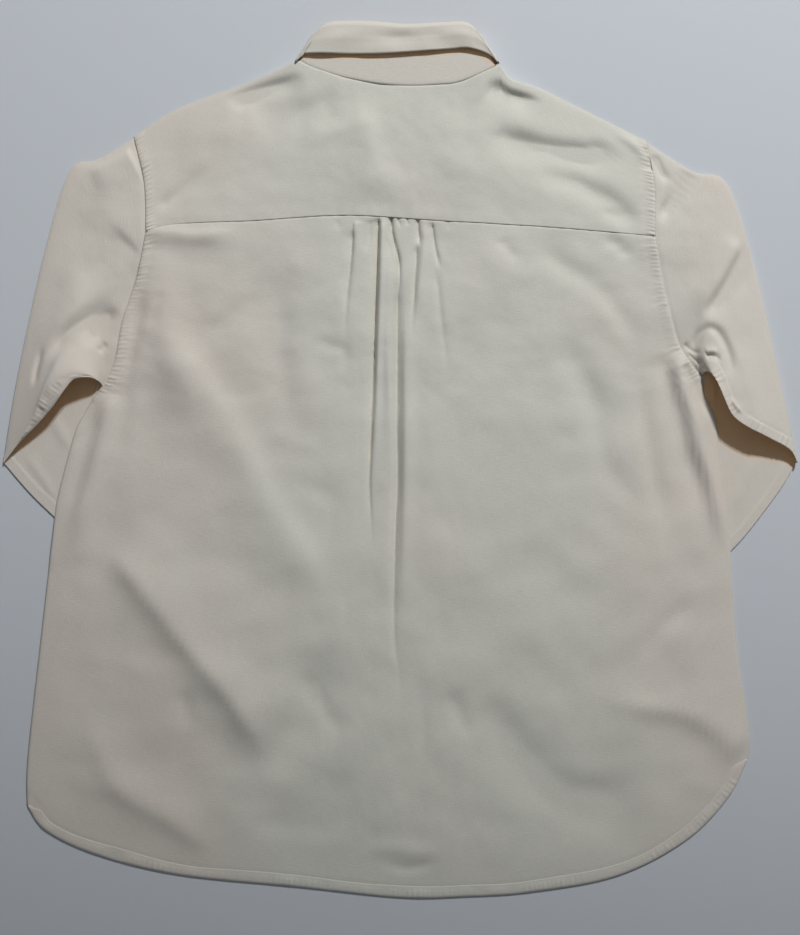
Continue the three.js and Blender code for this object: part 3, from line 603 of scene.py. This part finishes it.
def cloth_material(name, warmth):
    """Cream cotton in a plain weave with slight slubs. It is neutral in the middle of the
    shirt and pinker to its sides, by as much as warmth says."""
    material = bpy.data.materials.new(name)
    material.use_nodes = True
    tree = material.node_tree
    tree.nodes.clear()
    slubs = threads(tree, SLUBS)
    mottle = add_node(tree, "MixRGB", {
        "Fac": 0.16, "Color1": cream_tone(tree, warmth), "Color2": slubs,
    }, blend_type="MULTIPLY")
    # painted shade: a point attribute from 0 to 1 mixes the warm shade colour into the cloth where
    # shadows fall in hollows and deep gathers
    painted_shade = add_node(tree, "Attribute", {}, attribute_name="painted_shade")
    tinted = add_node(tree, "MixRGB", {
        "Fac": painted_shade.outputs["Fac"], "Color1": mottle.outputs["Color"],
        "Color2": (*PAINTED_SHADE_TINT, 1),
    }, blend_type="MIX")
    grain = add_node(tree, "Math", {0: slubs, 1: threads(tree, WARP)}, operation="ADD")
    bump = add_node(tree, "Bump", {
        "Strength": 0.7, "Distance": 0.00025, "Height": grain.outputs["Value"],
    })
    shader = add_node(tree, "BsdfPrincipled", {
        "Base Color": tinted.outputs["Color"], "Normal": bump.outputs["Normal"],
        "Roughness": 0.78, "Sheen Weight": 0.25, "Sheen Roughness": 0.5, "Specular IOR Level": 0.25,
    })
    through = add_node(tree, "BsdfTranslucent", {"Color": (*WARM_THROUGH, 1)})
    both = add_node(tree, "MixShader",
                    {0: 0.1, 1: shader.outputs["BSDF"], 2: through.outputs["BSDF"]})
    add_node(tree, "OutputMaterial", {"Surface": both.outputs["Shader"]})
    return material


BODY_CLOTH = cloth_material("body_cloth_cotton", 0.35)
SLEEVE_CLOTH = cloth_material("sleeve_cloth_cotton", 0.3)
COLLAR_CLOTH = cloth_material("collar_cloth_cotton", 0.7)


def finished(obj, node, material):
    obj.data.materials.append(material)
    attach(obj, "root")
    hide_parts(node)
    return obj


# ---- back ----

SEAM_LEFT = YOKE_SEAM[0][0]
SEAM_RIGHT = YOKE_SEAM[-1][0]
GATHERED = (-54, 44)    # where the gathers start and end
GATHER_LINES = [-43, -20, -12, -6, -1, 6, 17, 31]  # where the sharpest gathers cross the seam
GATHER_PAINTED_SHADE = 0.08      # painted shade: most of the warm shade colour laid into the deepest gathers
ARMHOLE_LENGTH = 148    # from the yoke seam to the underarm
SIDE_LENGTH = 386       # from the underarm to the hem


def column_spacing(x):
    """Columns of the back and yoke: close at the gathers and at the armholes."""
    to_gathers = np.maximum(0, np.maximum(GATHERED[0] - x, x - GATHERED[1]))
    to_edge = np.minimum(x - SEAM_LEFT, SEAM_RIGHT - x)
    to_sharp = np.min([np.abs(x - line) for line in GATHER_LINES], axis=0)
    between = (0.5 + 0.25 * to_sharp).clip(0.5, 1.3)
    return np.minimum(between + 0.15 * to_gathers, 1.0 + 0.3 * to_edge).clip(0.5, 4.0)


SEAM_X = graded(SEAM_LEFT, SEAM_RIGHT, column_spacing)
COLUMN_SHARE = (SEAM_X - SEAM_LEFT) / (SEAM_RIGHT - SEAM_LEFT)
SEAM_POINTS = at_x(SEAM_LINE, SEAM_X)


def seam_allowance(x, y):
    """Height the seam allowance gives the body's side of the armholes, with its puckers
    and the little drags that they pull into the cloth beside them."""
    height = np.zeros(np.shape(x))
    for k, line in enumerate(ARMHOLES):
        distance, _, along = to_line(x, y, line)
        in_band = smooth(distance, 0, 1.2) * (1 - smooth(distance, BAND - 1.0, BAND + 0.6))
        patches = smooth(unevenness(along, 0, 38, 20 + k), -0.45, 0.5)
        patches = patches + 0.8 * smooth(along, 165, 215)
        puckers = (0.6 + 1.2 * patches) * ladder(along + 0.4 * distance, 3.75, 5 + k)
        height += in_band * (0.3 + puckers)
        beside = hump(distance - BAND, 7) * smooth(distance, BAND - 1, BAND + 1)
        height += 0.7 * patches * beside * ladder(along, 7.5, 50 + k)
        height -= 0.3 * hump(distance - BAND, 0.9)
    return height


def build_back():
    armhole_rows = np.linspace(0, 1, 117)
    side_rows = graded_rows(SIDE_LENGTH, 4.7, 2.6, 0, 0.93)
    sides = []
    for cut in (LEFT, RIGHT):
        armhole = at_shares(smooth_line(cut["armhole_bottom"]), armhole_rows)
        body_side = at_shares(smooth_line(cut["body_side"]), side_rows)
        sides.append(np.vstack([armhole, body_side[1:]]))
    rows = np.concatenate([armhole_rows * ARMHOLE_LENGTH,
                           ARMHOLE_LENGTH + side_rows[1:] * SIDE_LENGTH])
    rows /= ARMHOLE_LENGTH + SIDE_LENGTH
    hem_points = at_x(HEM_LINE, np.interp(SEAM_X, COLUMN_SEAM, COLUMN_HEM))
    plan = patch(SEAM_POINTS, hem_points, *sides, COLUMN_SHARE, rows)
    x, y = plan[..., 0], plan[..., 1]
    inner = top_height(x, y, GATHERS + BACK_CREASES) + seam_allowance(x, y)
    inner -= 0.35 * hump(to_line(x, y, SEAM_LINE)[0], 0.9)
    to_hem = to_line(x, y, HEM_OUTLINE)[0]
    inner -= 0.35 * (1 - smooth(to_hem, HEM - 1, HEM + 1.5))
    # painted shade: the deepest sharp gathers get a little of the warm shade colour
    sharp = [crease for crease in GATHERS if crease.shape == 1]
    gather_shade_paint = np.clip(-crease_height(x, y, sharp) / 8 - 0.3, 0, GATHER_PAINTED_SHADE)
    back = wall("back_cloth", lifted(plan, inner + CLOTH), lifted(plan, inner), plan, painted_shade=gather_shade_paint)
    return finished(back, "back", BODY_CLOTH)


def build_hem():
    """The turned hem along the bottom of the back: a flat roll of cloth, slightly roped."""
    run = lengths(HEM_LINE)[-1]
    across = np.linspace(0.002, 0.998, int(run / HEM_STEP))
    edge = at_shares(HEM_LINE, across)
    inward = outward_normals(edge, 1)
    along = across * run
    strength = smooth(unevenness(along, 0, 60, 14), -0.5, 0.6)
    rope = (0.1 + 0.9 * strength) * ladder(along, 4.6, 31)
    rope += 0.3 * unevenness(along, 0, 18, 4)
    width = HEM + 1.2 * unevenness(along, 0, 70, 9)
    width *= 0.15 + 0.85 * smooth(np.minimum(along, run - along), 0, 14)
    turn = np.linspace(0, 1, 13)
    outer, inner = [], []
    for share in turn:
        plan = edge + inward * (width * share)[:, None]
        base = top_height(plan[:, 0], plan[:, 1], BACK_CREASES)
        profile = np.sin(np.pi / 2 * min(1, share * 4))
        closing = 1 - smooth(share, 0.45, 1.0)
        outer.append(lifted(plan, base + 0.3 + profile * (0.46 + (0.3 + rope) * closing)))
        inner.append(lifted(plan, base - 0.1))
    back_hem = wall("back_hem", np.stack(outer, 1), np.stack(inner, 1), grid_of(along, turn * HEM))
    return finished(back_hem, "back", BODY_CLOTH)


# ---- front ----

FRONT_START = 0.38      # share of the armhole's length where the front starts
SLIT_ROWS = 16
SLIT_HALF = 3           # half the slit's width
FRONT_SHORTER = 8       # how far the front's hem lies above the back's
FRONT_COLUMNS = np.linspace(0, 1, 45)


def front_half(cut, armhole):
    """The plan of one half of the front, from its outer edge in to the slit and centre."""
    armhole_part = at_shares(armhole, np.linspace(FRONT_START, 1, 30))
    side = at_shares(smooth_line(cut["body_side"]), np.linspace(0, 1, 54))
    outer_edge = np.vstack([armhole_part, side[1:]])
    count = len(outer_edge)
    neck_end, slit_end = np.array(cut["neck_edge"][1:], float)
    centre_x = cut["side"] * SLIT_HALF
    hem_end = np.array([centre_x, np.interp(centre_x, *HEM_LINE.T) + FRONT_SHORTER])
    slit = np.linspace(neck_end, slit_end, SLIT_ROWS)
    centre = np.linspace(slit_end, hem_end, count - SLIT_ROWS + 1)
    inner_edge = np.vstack([slit, centre[1:]])
    top = outer_edge[0] + (inner_edge[0] - outer_edge[0]) * FRONT_COLUMNS[:, None]
    hem_x = outer_edge[-1][0] + (hem_end[0] - outer_edge[-1][0]) * FRONT_COLUMNS
    bottom = at_x(HEM_LINE, hem_x)
    bottom[:, 1] += FRONT_SHORTER * smooth(FRONT_COLUMNS, 0, 0.15)
    return patch(top, bottom, outer_edge, inner_edge, FRONT_COLUMNS, np.linspace(0, 1, count))


def build_front():
    """The bottom layer, lying on the floor: two halves joined below the neck slit."""
    left, right = (front_half(cut, armhole) for cut, armhole in zip((LEFT, RIGHT), ARMHOLES))
    plan = np.concatenate([left, right[::-1]])
    x, y = plan[..., 0], plan[..., 1]
    inside = np.min([to_line(x, y, line)[0] for line in OUTER_LINES], axis=0)
    raised = np.maximum(0, crease_height(x, y, FRONT_CREASES))
    base = sleeve_lift(x, y) + smooth(inside, 10, 40) * raised
    keep = np.ones((plan.shape[0] - 1, plan.shape[1] - 1), bool)
    keep[len(left) - 1, :SLIT_ROWS - 1] = False
    front = wall("front_cloth", lifted(plan, base), lifted(plan, base + CLOTH), plan, keep)
    return finished(front, "front", BODY_CLOTH)


# ---- yoke ----

YOKE_DEPTH = 145
NECK_END = 89           # where the shoulders meet the neck, from the middle
SHOULDER_LEFT = LEFT["shoulder"][0][0]
SHOULDER_RIGHT = RIGHT["shoulder"][0][0]
SHOULDER_BULGE = 1.4    # how far the turn over a shoulder stands out
STRIP_END = 0.37        # share of the armhole's length where the front's strip ends


def yoke_plan(rows, top_x):
    """Plan of the yoke's part on the back, from its seam up to the shoulders and neck."""
    left, right = (at_shares(smooth_line(cut["armhole_top"]), 1 - rows) for cut in (LEFT, RIGHT))
    top_line = np.vstack([smooth_line(LEFT["shoulder"]), smooth_line(NECK_SEAM)[1:-1],
                          smooth_line(RIGHT["shoulder"])[::-1]])
    top = at_x(top_line, top_x)
    top[0], top[-1] = left[-1], right[-1]
    return patch(SEAM_POINTS, top, left, right, COLUMN_SHARE, rows)


def yoke_height(x, y):
    """Height of the yoke's underside: pressed down at its seams, with soft ripples above
    the gathered one."""
    height = top_height(x, y, YOKE_CREASES) + seam_allowance(x, y)
    to_seam = to_line(x, y, SEAM_LINE)[0]
    pressed = np.sqrt(1 - (1 - np.clip(to_seam, 0, 1)) ** 2)
    height += 0.1 + 0.22 * pressed * (1 - smooth(to_seam, 2, 14))
    height -= 0.3 * hump(to_line(x, y, smooth_line(NECK_SEAM, 10))[0], 1)
    ripples = ladder(x - SEAM_LEFT, 12.5, 12) * hump(y - np.interp(x, *SEAM_LINE.T), 9)
    return height + 0.35 * ripples


def strip_ends(top_x):
    """Where the strip on each front ends, for each column of the yoke."""
    ends = np.zeros((len(top_x), 2))
    part = np.clip((np.abs(top_x) - NECK_END) / (-SHOULDER_LEFT - NECK_END), 0, 1)[:, None]
    for cut, armhole in zip((LEFT, RIGHT), ARMHOLES):
        mine = top_x * cut["side"] > 0
        neck_end = np.array(cut["neck_edge"][1], float)
        armhole_end = at_shares(armhole, [STRIP_END])[0]
        ends[mine] = (neck_end + (armhole_end - neck_end) * part)[mine]
    return ends


def build_yoke():
    """The yoke lies as a pressed edge over the back, turns over the shoulders and goes on as
    a strip on each front."""
    rows = graded_rows(YOKE_DEPTH, 1.6, 0.6, 0.06, 1)
    top_x = np.interp(SEAM_X, [SEAM_LEFT, -NECK_END, NECK_END, SEAM_RIGHT],
                      [SHOULDER_LEFT, -NECK_END, NECK_END, SHOULDER_RIGHT])
    plan = yoke_plan(rows, top_x)
    base = yoke_height(plan[..., 0], plan[..., 1])
    ridge = plan[:, -1]
    angles = np.linspace(np.pi / 2, -np.pi / 2, 9)[1:]
    rounds = half_round(ridge, 1, base[:, -1], SHOULDER_BULGE, angles)
    shares = np.linspace(0, 1, 12)[1:, None]
    strip = ridge[:, None] + (strip_ends(top_x) - ridge)[:, None] * shares
    level = np.zeros(strip.shape[:2])
    outer = [lifted(plan, base + CLOTH), rounds[0].swapaxes(0, 1), lifted(strip, level)]
    inner = [lifted(plan, base), rounds[1].swapaxes(0, 1), lifted(strip, level + CLOTH)]
    outer, inner = np.concatenate(outer, 1), np.concatenate(inner, 1)
    keep = np.ones((outer.shape[0] - 1, outer.shape[1] - 1), bool)
    on_shoulder = np.abs(top_x) > NECK_END
    keep[:, len(rows) - 1:] = (on_shoulder[1:] & on_shoulder[:-1])[:, None]
    weave = grid_of(SEAM_X, np.linspace(0, 200, outer.shape[1]))
    yoke = wall("yoke_cloth", outer, inner, weave, keep)
    return finished(yoke, "yoke", BODY_CLOTH)


# ---- sleeves ----

SLEEVE_LENGTH = 230
SLEEVE_SHARES = np.linspace(0, 1, 116)
SLEEVE_STEPS = graded_rows(SLEEVE_LENGTH, 3.2, 1.1, 0.05, 0.94)
BAND_STEPS = np.linspace(0, 1, 9)[1:]
BAND_SHARE = 0.03       # of the sleeve's length, for a hem band that turns down
BAND_TURN = 0.6         # angle in radians that it turns down through
BAND_DROP = 2.2         # how far its edge lies below its ridge
FOLD_TURN = half_turn(8)
MOUTH_SHAPE = 0.47      # below 1 the mouth is highest near the underarm


def sleeve_sides(cut, rows):
    """The underarm line and the outer fold, from the armhole to the hem."""
    underarm = np.array(cut["underarm"], float)
    to_hem = underarm + (np.array(cut["upper_hem"][0]) - underarm) * rows[:, None]
    return to_hem, at_shares(smooth_line(cut["sleeve_fold"]), rows)


def sleeve_layer(cut, armhole, hem):
    """Plan of the top or bottom layer, between the armhole seam and that layer's hem."""
    seam = at_shares(armhole[::-1], SLEEVE_SHARES)
    seam += np.exp(-SLEEVE_SHARES * 25)[:, None] * (np.array(cut["underarm"]) - seam[0])
    hem_points = at_shares(smooth_line(cut[hem]), SLEEVE_SHARES)
    return patch(seam, hem_points, *sleeve_sides(cut, SLEEVE_STEPS), SLEEVE_SHARES, SLEEVE_STEPS)


def flat_hem(x, y, cut):
    """Height that a hem which stays level with the sleeve adds, with its roping."""
    to_mouth, _, along = to_line(x, y, smooth_line(cut["upper_hem"], 10))
    band = 1 - smooth(to_mouth, SLEEVE_HEM - 1, SLEEVE_HEM)
    pulls = 0.6 + 0.8 * unevenness(along, 0, 16, 46)
    rope = band * (0.3 + pulls * ladder(along, 4.6, 41))
    return rope - 0.3 * hump(to_mouth - SLEEVE_HEM, 0.9)


def sleeve_top(upper, cut, armhole):
    """Height of the top layer's underside, which rises to the open mouth."""
    x, y = upper[..., 0], upper[..., 1]
    height = top_height(x, y, SLEEVE_CREASES)
    height -= 0.6 * hump(to_line(x, y, armhole)[0], 2.5)
    opening = np.sin(np.pi * SLEEVE_SHARES ** MOUTH_SHAPE)
    opening += cut["tip_lift"] * smooth(SLEEVE_SHARES, 0.4, 1)
    height += cut["mouth_lift"] * opening[:, None] * smooth(SLEEVE_STEPS, 0, 1)
    if "hem_edge" not in cut:
        height += flat_hem(x, y, cut)
    return np.maximum(height, LAYER)


def sleeve_bottom(lower, cut):
    """Heights of the two sides of the layer below, with the hem turned up on it."""
    x, y = lower[..., 0], lower[..., 1]
    low = 0.2 + np.maximum(0, crease_height(x, y, SLEEVE_UNDER_CREASES))
    to_edge, _, along = to_line(x, y, smooth_line(cut["lower_hem"], 10))
    hem = 1 - smooth(to_edge, SLEEVE_HEM - 0.8, SLEEVE_HEM)
    return low, low + CLOTH + hem * (0.35 + 0.5 * ladder(along, 4.9, 47 + cut["side"]))


def turned_band(upper, base, cut):
    """The rows of a hem that turns down from the ridge of an open mouth to its edge."""
    edge = at_shares(smooth_line(cut["hem_edge"]), SLEEVE_SHARES)
    turn = BAND_STEPS * BAND_TURN
    out = np.sin(turn) / np.sin(BAND_TURN)
    down = (1 - np.cos(turn)) / (1 - np.cos(BAND_TURN))
    ridge, height = upper[:, -1], base[:, -1]
    edge_height = height - BAND_DROP * np.sin(np.pi * SLEEVE_SHARES)
    along = lengths(ridge)[:, None]
    pulls = 1.0 + unevenness(along, 0, 14, 44)
    rope = pulls * ladder(along + 6 * BAND_STEPS, 4.3, 43) * smooth(along, 25, 50)
    rope += 0.7 * unevenness(along, 9 * BAND_STEPS, 9, 45)
    plan = ridge[:, None] + (edge - ridge)[:, None] * out[:, None]
    band = height[:, None] + (edge_height - height)[:, None] * down
    return plan, band + rope * np.sin(np.pi * np.minimum(1, BAND_STEPS * 1.1))


def lengthened(grid):
    """A grid with its last row repeated under a hem band."""
    return np.concatenate([grid] + [grid[:, -1:]] * len(BAND_STEPS), 1)


def fold_bulge(height):
    """How far the fold of a tube stands out where its top layer is this high."""
    return 0.6 + 0.05 * height


def build_sleeve(cut, armhole, name):
    """A tube lying flat: its top layer, the outer fold, the layer below and the underarm.
    The mouth stands open by the lift of the top layer's hem."""
    side = cut["side"]
    rows = SLEEVE_STEPS
    upper = sleeve_layer(cut, armhole, "upper_hem")
    lower = sleeve_layer(cut, armhole, "lower_hem")
    top = sleeve_top(upper, cut, armhole)
    low, low_top = sleeve_bottom(lower, cut)
    if "hem_edge" in cut:
        plan, band = turned_band(upper, top, cut)
        upper, top = np.concatenate([upper, plan], 1), np.concatenate([top, band], 1)
        lower, low, low_top = (lengthened(grid) for grid in (lower, low, low_top))
        rows = np.concatenate([rows * (1 - BAND_SHARE), 1 - BAND_SHARE + BAND_SHARE * BAND_STEPS])
    to_hem, fold = sleeve_sides(cut, rows)
    folds = half_round(fold, side, top[-1], fold_bulge(top[-1]), FOLD_TURN)
    underarms = half_round(to_hem, -side, top[0], fold_bulge(top[0]), FOLD_TURN[::-1])
    outer = [lifted(upper, top + CLOTH), folds[0], lifted(lower, low)[::-1], underarms[0]]
    inner = [lifted(upper, top), folds[1], lifted(lower, low_top)[::-1], underarms[1]]
    outer, inner = np.concatenate(outer), np.concatenate(inner)
    # painted shade: the lower layer gets the warm shade colour where the raised hem of the mouth casts
    # its shadow on it
    shade = in_shadow(lower[..., 0], lower[..., 1], upper[:, -1], top[:, -1] + 0.6, side)
    no_shade = np.zeros(folds[0].shape[:2])
    painted_shade = np.concatenate([0 * top, no_shade, shade[::-1], no_shade])
    weave = grid_of(lengths(outer[:, len(rows) // 2]), rows * SLEEVE_LENGTH)
    sleeve = wall(name + "_cloth", outer, inner, weave, wrap=True, painted_shade=painted_shade)
    return finished(sleeve, name, SLEEVE_CLOTH)


# ---- collar ----

COLLAR_SHEET = 0.7      # thickness of each layer
COLLAR_GAP = 1.0        # from the middle of one to the middle of the other
BACK_STEPS = 140
FRONT_STEPS = 40
ROW_STEPS = 60          # closest about the roll
CORNER_TURN = half_turn(9)

# A row along the collar: its place, from 0 to 1 up the stand and from 1 to 2 down the leaf,
# its height on the back and on the wings in front, and the two parts of its outward normal:
# away from the body and from the seam to the roll.
CollarRow = namedtuple("CollarRow", "at back front away along")
COLLAR_ROWS = [
    CollarRow(0, 7.4, 0.5, -1, 0),
    CollarRow(0.12, 7.9, 3.9, -1, 0),
    CollarRow(0.5, 8.2, 3.9, -1, 0),
    CollarRow(0.9, 8.4, 3.9, -0.95, 0.3),
    CollarRow(0.97, 10.6, 2.5, 0, 1),
    CollarRow(1.14, 12.3, 2.3, 0.95, 0.3),
    CollarRow(1.55, 12.6, 2.3, 1, 0),
    CollarRow(2, 11.4, 2.3, 1, 0),
]
COLLAR_BACK = {
    "seam": NECK_SEAM,
    "roll": [(-77, 393), (-72, 398.5), (-60, 402.5), (-28, 402.5), (5, 400), (40, 401.5), (58, 402),
        (67, 398), (72, 392)],
    "leaf": [(-94.5, 367.5), (-88.5, 372.5), (-82, 374), (-28, 373.5), (1, 374.7), (46, 378), (58, 379),
        (67, 378), (81, 373.5), (89, 366.5)],
}
COLLAR_FRONT = {
    "seam": [(88, 363), (72, 336), (26, 253)],
    "roll": [(71, 394), (38, 345), (6, 268)],
    "leaf": [(90, 374), (62, 340), (22, 272)],
}
ROW_PLACES = np.interp(np.linspace(0, 1, ROW_STEPS), [0, 0.4, 0.7, 1], [0, 0.85, 1.2, 2.0])


def collar_row(key):
    """A value of the collar's rows at each of the row places."""
    return np.interp(ROW_PLACES, [row.at for row in COLLAR_ROWS],
                     [getattr(row, key) for row in COLLAR_ROWS])


def collar_lines():
    """The seam, roll and leaf of the collar's back and of its two wings on the fronts,
    which start where the back's lines end."""
    lines = {"left": {}, "back": {}, "right": {}}
    shares = np.linspace(0, 1, FRONT_STEPS)
    fade = (1 - shares)[:, None]
    for key, points in COLLAR_BACK.items():
        back = at_shares(smooth_line(points), np.linspace(0, 1, BACK_STEPS))
        right = at_shares(smooth_line(COLLAR_FRONT[key]), shares)
        left = right * [-1, 1]
        lines["left"][key] = left + fade * (back[0] - left[0])
        lines["back"][key] = back
        lines["right"][key] = right + fade * (back[-1] - right[0])
    return lines


def collar_part(lines, heights, upwards):
    """The points of a layer's middle and its outward normals, over one part of the collar."""
    seam, roll, leaf = (lines[key][:, None] for key in ("seam", "roll", "leaf"))
    on_leaf = (ROW_PLACES > 1)[:, None]
    share = np.where(on_leaf, ROW_PLACES[:, None] - 1, ROW_PLACES[:, None])
    start = np.where(on_leaf, roll, seam)
    plan = start + (np.where(on_leaf, leaf, roll) - start) * share
    normal = np.zeros((*heights.shape, 3))
    normal[..., 2] = collar_row("away") * upwards
    normal[..., :2] = unit(roll - seam) * collar_row("along")[:, None]
    return np.stack([lifted(plan, heights), unit(normal)])


def collar_back_heights():
    """Heights of the rows over the neck: nearly level along the stand, and uneven on the
    leaf, with a shallow dent near the middle and its corners lower."""
    first, second = COLLAR_ROWS[:2]
    to_seam = np.clip(1 - ROW_PLACES / second.at, 0, 1)
    rising = second.back - (second.back - first.back) * to_seam ** 4
    heights = np.where(to_seam > 0, rising, collar_row("back"))
    across = np.linspace(-1, 1, BACK_STEPS)[:, None]
    leaf_share = np.clip(ROW_PLACES - 1, 0, 1)
    wave = 0.8 * unevenness(across * 80, 30 * leaf_share, 22, 6)
    dent = 1.6 * hump(across * 80 + 2, 18) * hump(leaf_share - 0.5, 0.28)
    heights = heights + (wave - dent) * smooth(leaf_share, 0.1, 0.5)
    return heights - smooth(np.abs(across), 0.8, 1) * leaf_share


def collar_corner(middle, lines, column, side):
    """The half round in which the collar turns over, at one end of its back, to a wing."""
    spots, normals = [], []
    low = collar_row("front")
    half = (middle[column, :, 2] - low) / 2
    way = unit(lines["roll"][column] - lines["seam"][column])
    for angle in CORNER_TURN:
        spot = middle[column].copy()
        spot[:, 0] += side * 0.3 * half * np.cos(angle)
        spot[:, 2] = low + half * (1 + np.sin(angle))
        normal = np.zeros_like(spot)
        normal[:, 0] = side * np.cos(angle) * collar_row("away")
        normal[:, 2] = np.sin(angle) * collar_row("away")
        normal[:, :2] += way * collar_row("along")[:, None]
        spots.append(spot)
        normals.append(unit(normal))
    return np.stack([spots, normals])


def build_collar(name, depth):
    """One layer of the collar, at its depth over the inner one: from the left wing on the
    front, over the back of the neck, to the right wing."""
    lines = collar_lines()
    wing_heights = np.tile(collar_row("front"), (FRONT_STEPS, 1))
    back = collar_part(lines["back"], collar_back_heights(), 1)
    spots, normals = np.concatenate([
        collar_part(lines["left"], wing_heights, -1)[:, ::-1],
        collar_corner(back[0], lines["back"], 0, -1)[:, ::-1],
        back,
        collar_corner(back[0], lines["back"], -1, 1),
        collar_part(lines["right"], wing_heights, -1),
    ], 1)
    spots = spots + normals * depth
    outer, inner = spots + normals * COLLAR_SHEET / 2, spots - normals * COLLAR_SHEET / 2
    weave = grid_of(lengths(spots[:, 0]), ROW_PLACES * COLLAR_DEPTH)
    # painted shade: the stand gets the warm shade colour where the leaf's raised edge casts its shadow
    # on it
    shade = in_shadow(spots[..., 0], spots[..., 1], lines["back"]["leaf"], LEAF_LEVEL, 1)
    shade = shade * (ROW_PLACES < 0.97)
    collar = wall(name + "_cloth", outer, inner, weave, painted_shade=shade)
    return finished(collar, name, COLLAR_CLOTH)


# ---- build ----

back = build_back()
back_hem = build_hem()
front = build_front()
yoke = build_yoke()
sleeve_left = build_sleeve(LEFT, ARMHOLES[0], "sleeve_left")
sleeve_right = build_sleeve(RIGHT, ARMHOLES[1], "sleeve_right")
under_collar = build_collar("under_collar", 0.0)
upper_collar = build_collar("upper_collar", COLLAR_GAP)

# ---- floor, light and camera, in metres ----

FLOOR_HALF = 1.6
FLOOR_LEVEL = -0.0004
LIGHT_TARGET = (0.3, 1.2, 0)
CARD = [(-2, 0.4, 1.67), (3, 0.4, 1.67), (3, 1.215, 1.67), (-2, 1.915, 1.67)]
CAMERA_HEIGHT = 1.25
CAMERA_Y = -0.0062
SEEN_HEIGHT = 0.8602    # height of the picture at the level of the shirt's middle
MIDDLE_LEVEL = 0.008
SENSOR = 36             # in millimetres


def build_floor():
    corners = [(x * FLOOR_HALF, y * FLOOR_HALF, FLOOR_LEVEL)
               for x, y in ((-1, -1), (1, -1), (1, 1), (-1, 1))]
    floor = linked_mesh("floor", corners, [(0, 1, 2, 3)])
    material = bpy.data.materials.new("pale_board")
    material.use_nodes = True
    set_inputs(material.node_tree.nodes["Principled BSDF"],
               {"Base Color": (0.62, 0.66, 0.72, 1), "Roughness": 0.7, "Specular IOR Level": 0.2})
    floor.data.materials.append(material)


def build_light():
    """A small window at the top right and a soft grey room. A card between the window and
    the shirt's lower end shades the board there."""
    window = bpy.data.lights.new("window", "AREA")
    window.shape = "RECTANGLE"
    window.size, window.size_y = 0.36, 0.28
    window.energy = 77
    window.color = (1.0, 0.985, 0.955)
    lamp = bpy.data.objects.new("window", window)
    lamp.location = LIGHT_PLACE / 1000
    way = Vector(LIGHT_TARGET) - lamp.location
    lamp.rotation_euler = way.to_track_quat("-Z", "Y").to_euler()
    scene.collection.objects.link(lamp)
    card = linked_mesh("shading_card", CARD, [(0, 1, 2, 3)])
    card.visible_camera = False
    world = bpy.data.worlds.new("room")
    world.use_nodes = True
    set_inputs(world.node_tree.nodes["Background"],
               {"Color": (0.93, 0.97, 1.0, 1), "Strength": 0.135})
    scene.world = world


def build_camera():
    data = bpy.data.cameras.new("camera")
    data.sensor_width = SENSOR
    data.lens = SENSOR * (CAMERA_HEIGHT - MIDDLE_LEVEL) / SEEN_HEIGHT
    camera = bpy.data.objects.new("camera", data)
    camera.location = (0, CAMERA_Y, CAMERA_HEIGHT)
    scene.collection.objects.link(camera)
    scene.camera = camera


build_floor()
build_light()
build_camera()
scene.view_settings.view_transform = "Standard"
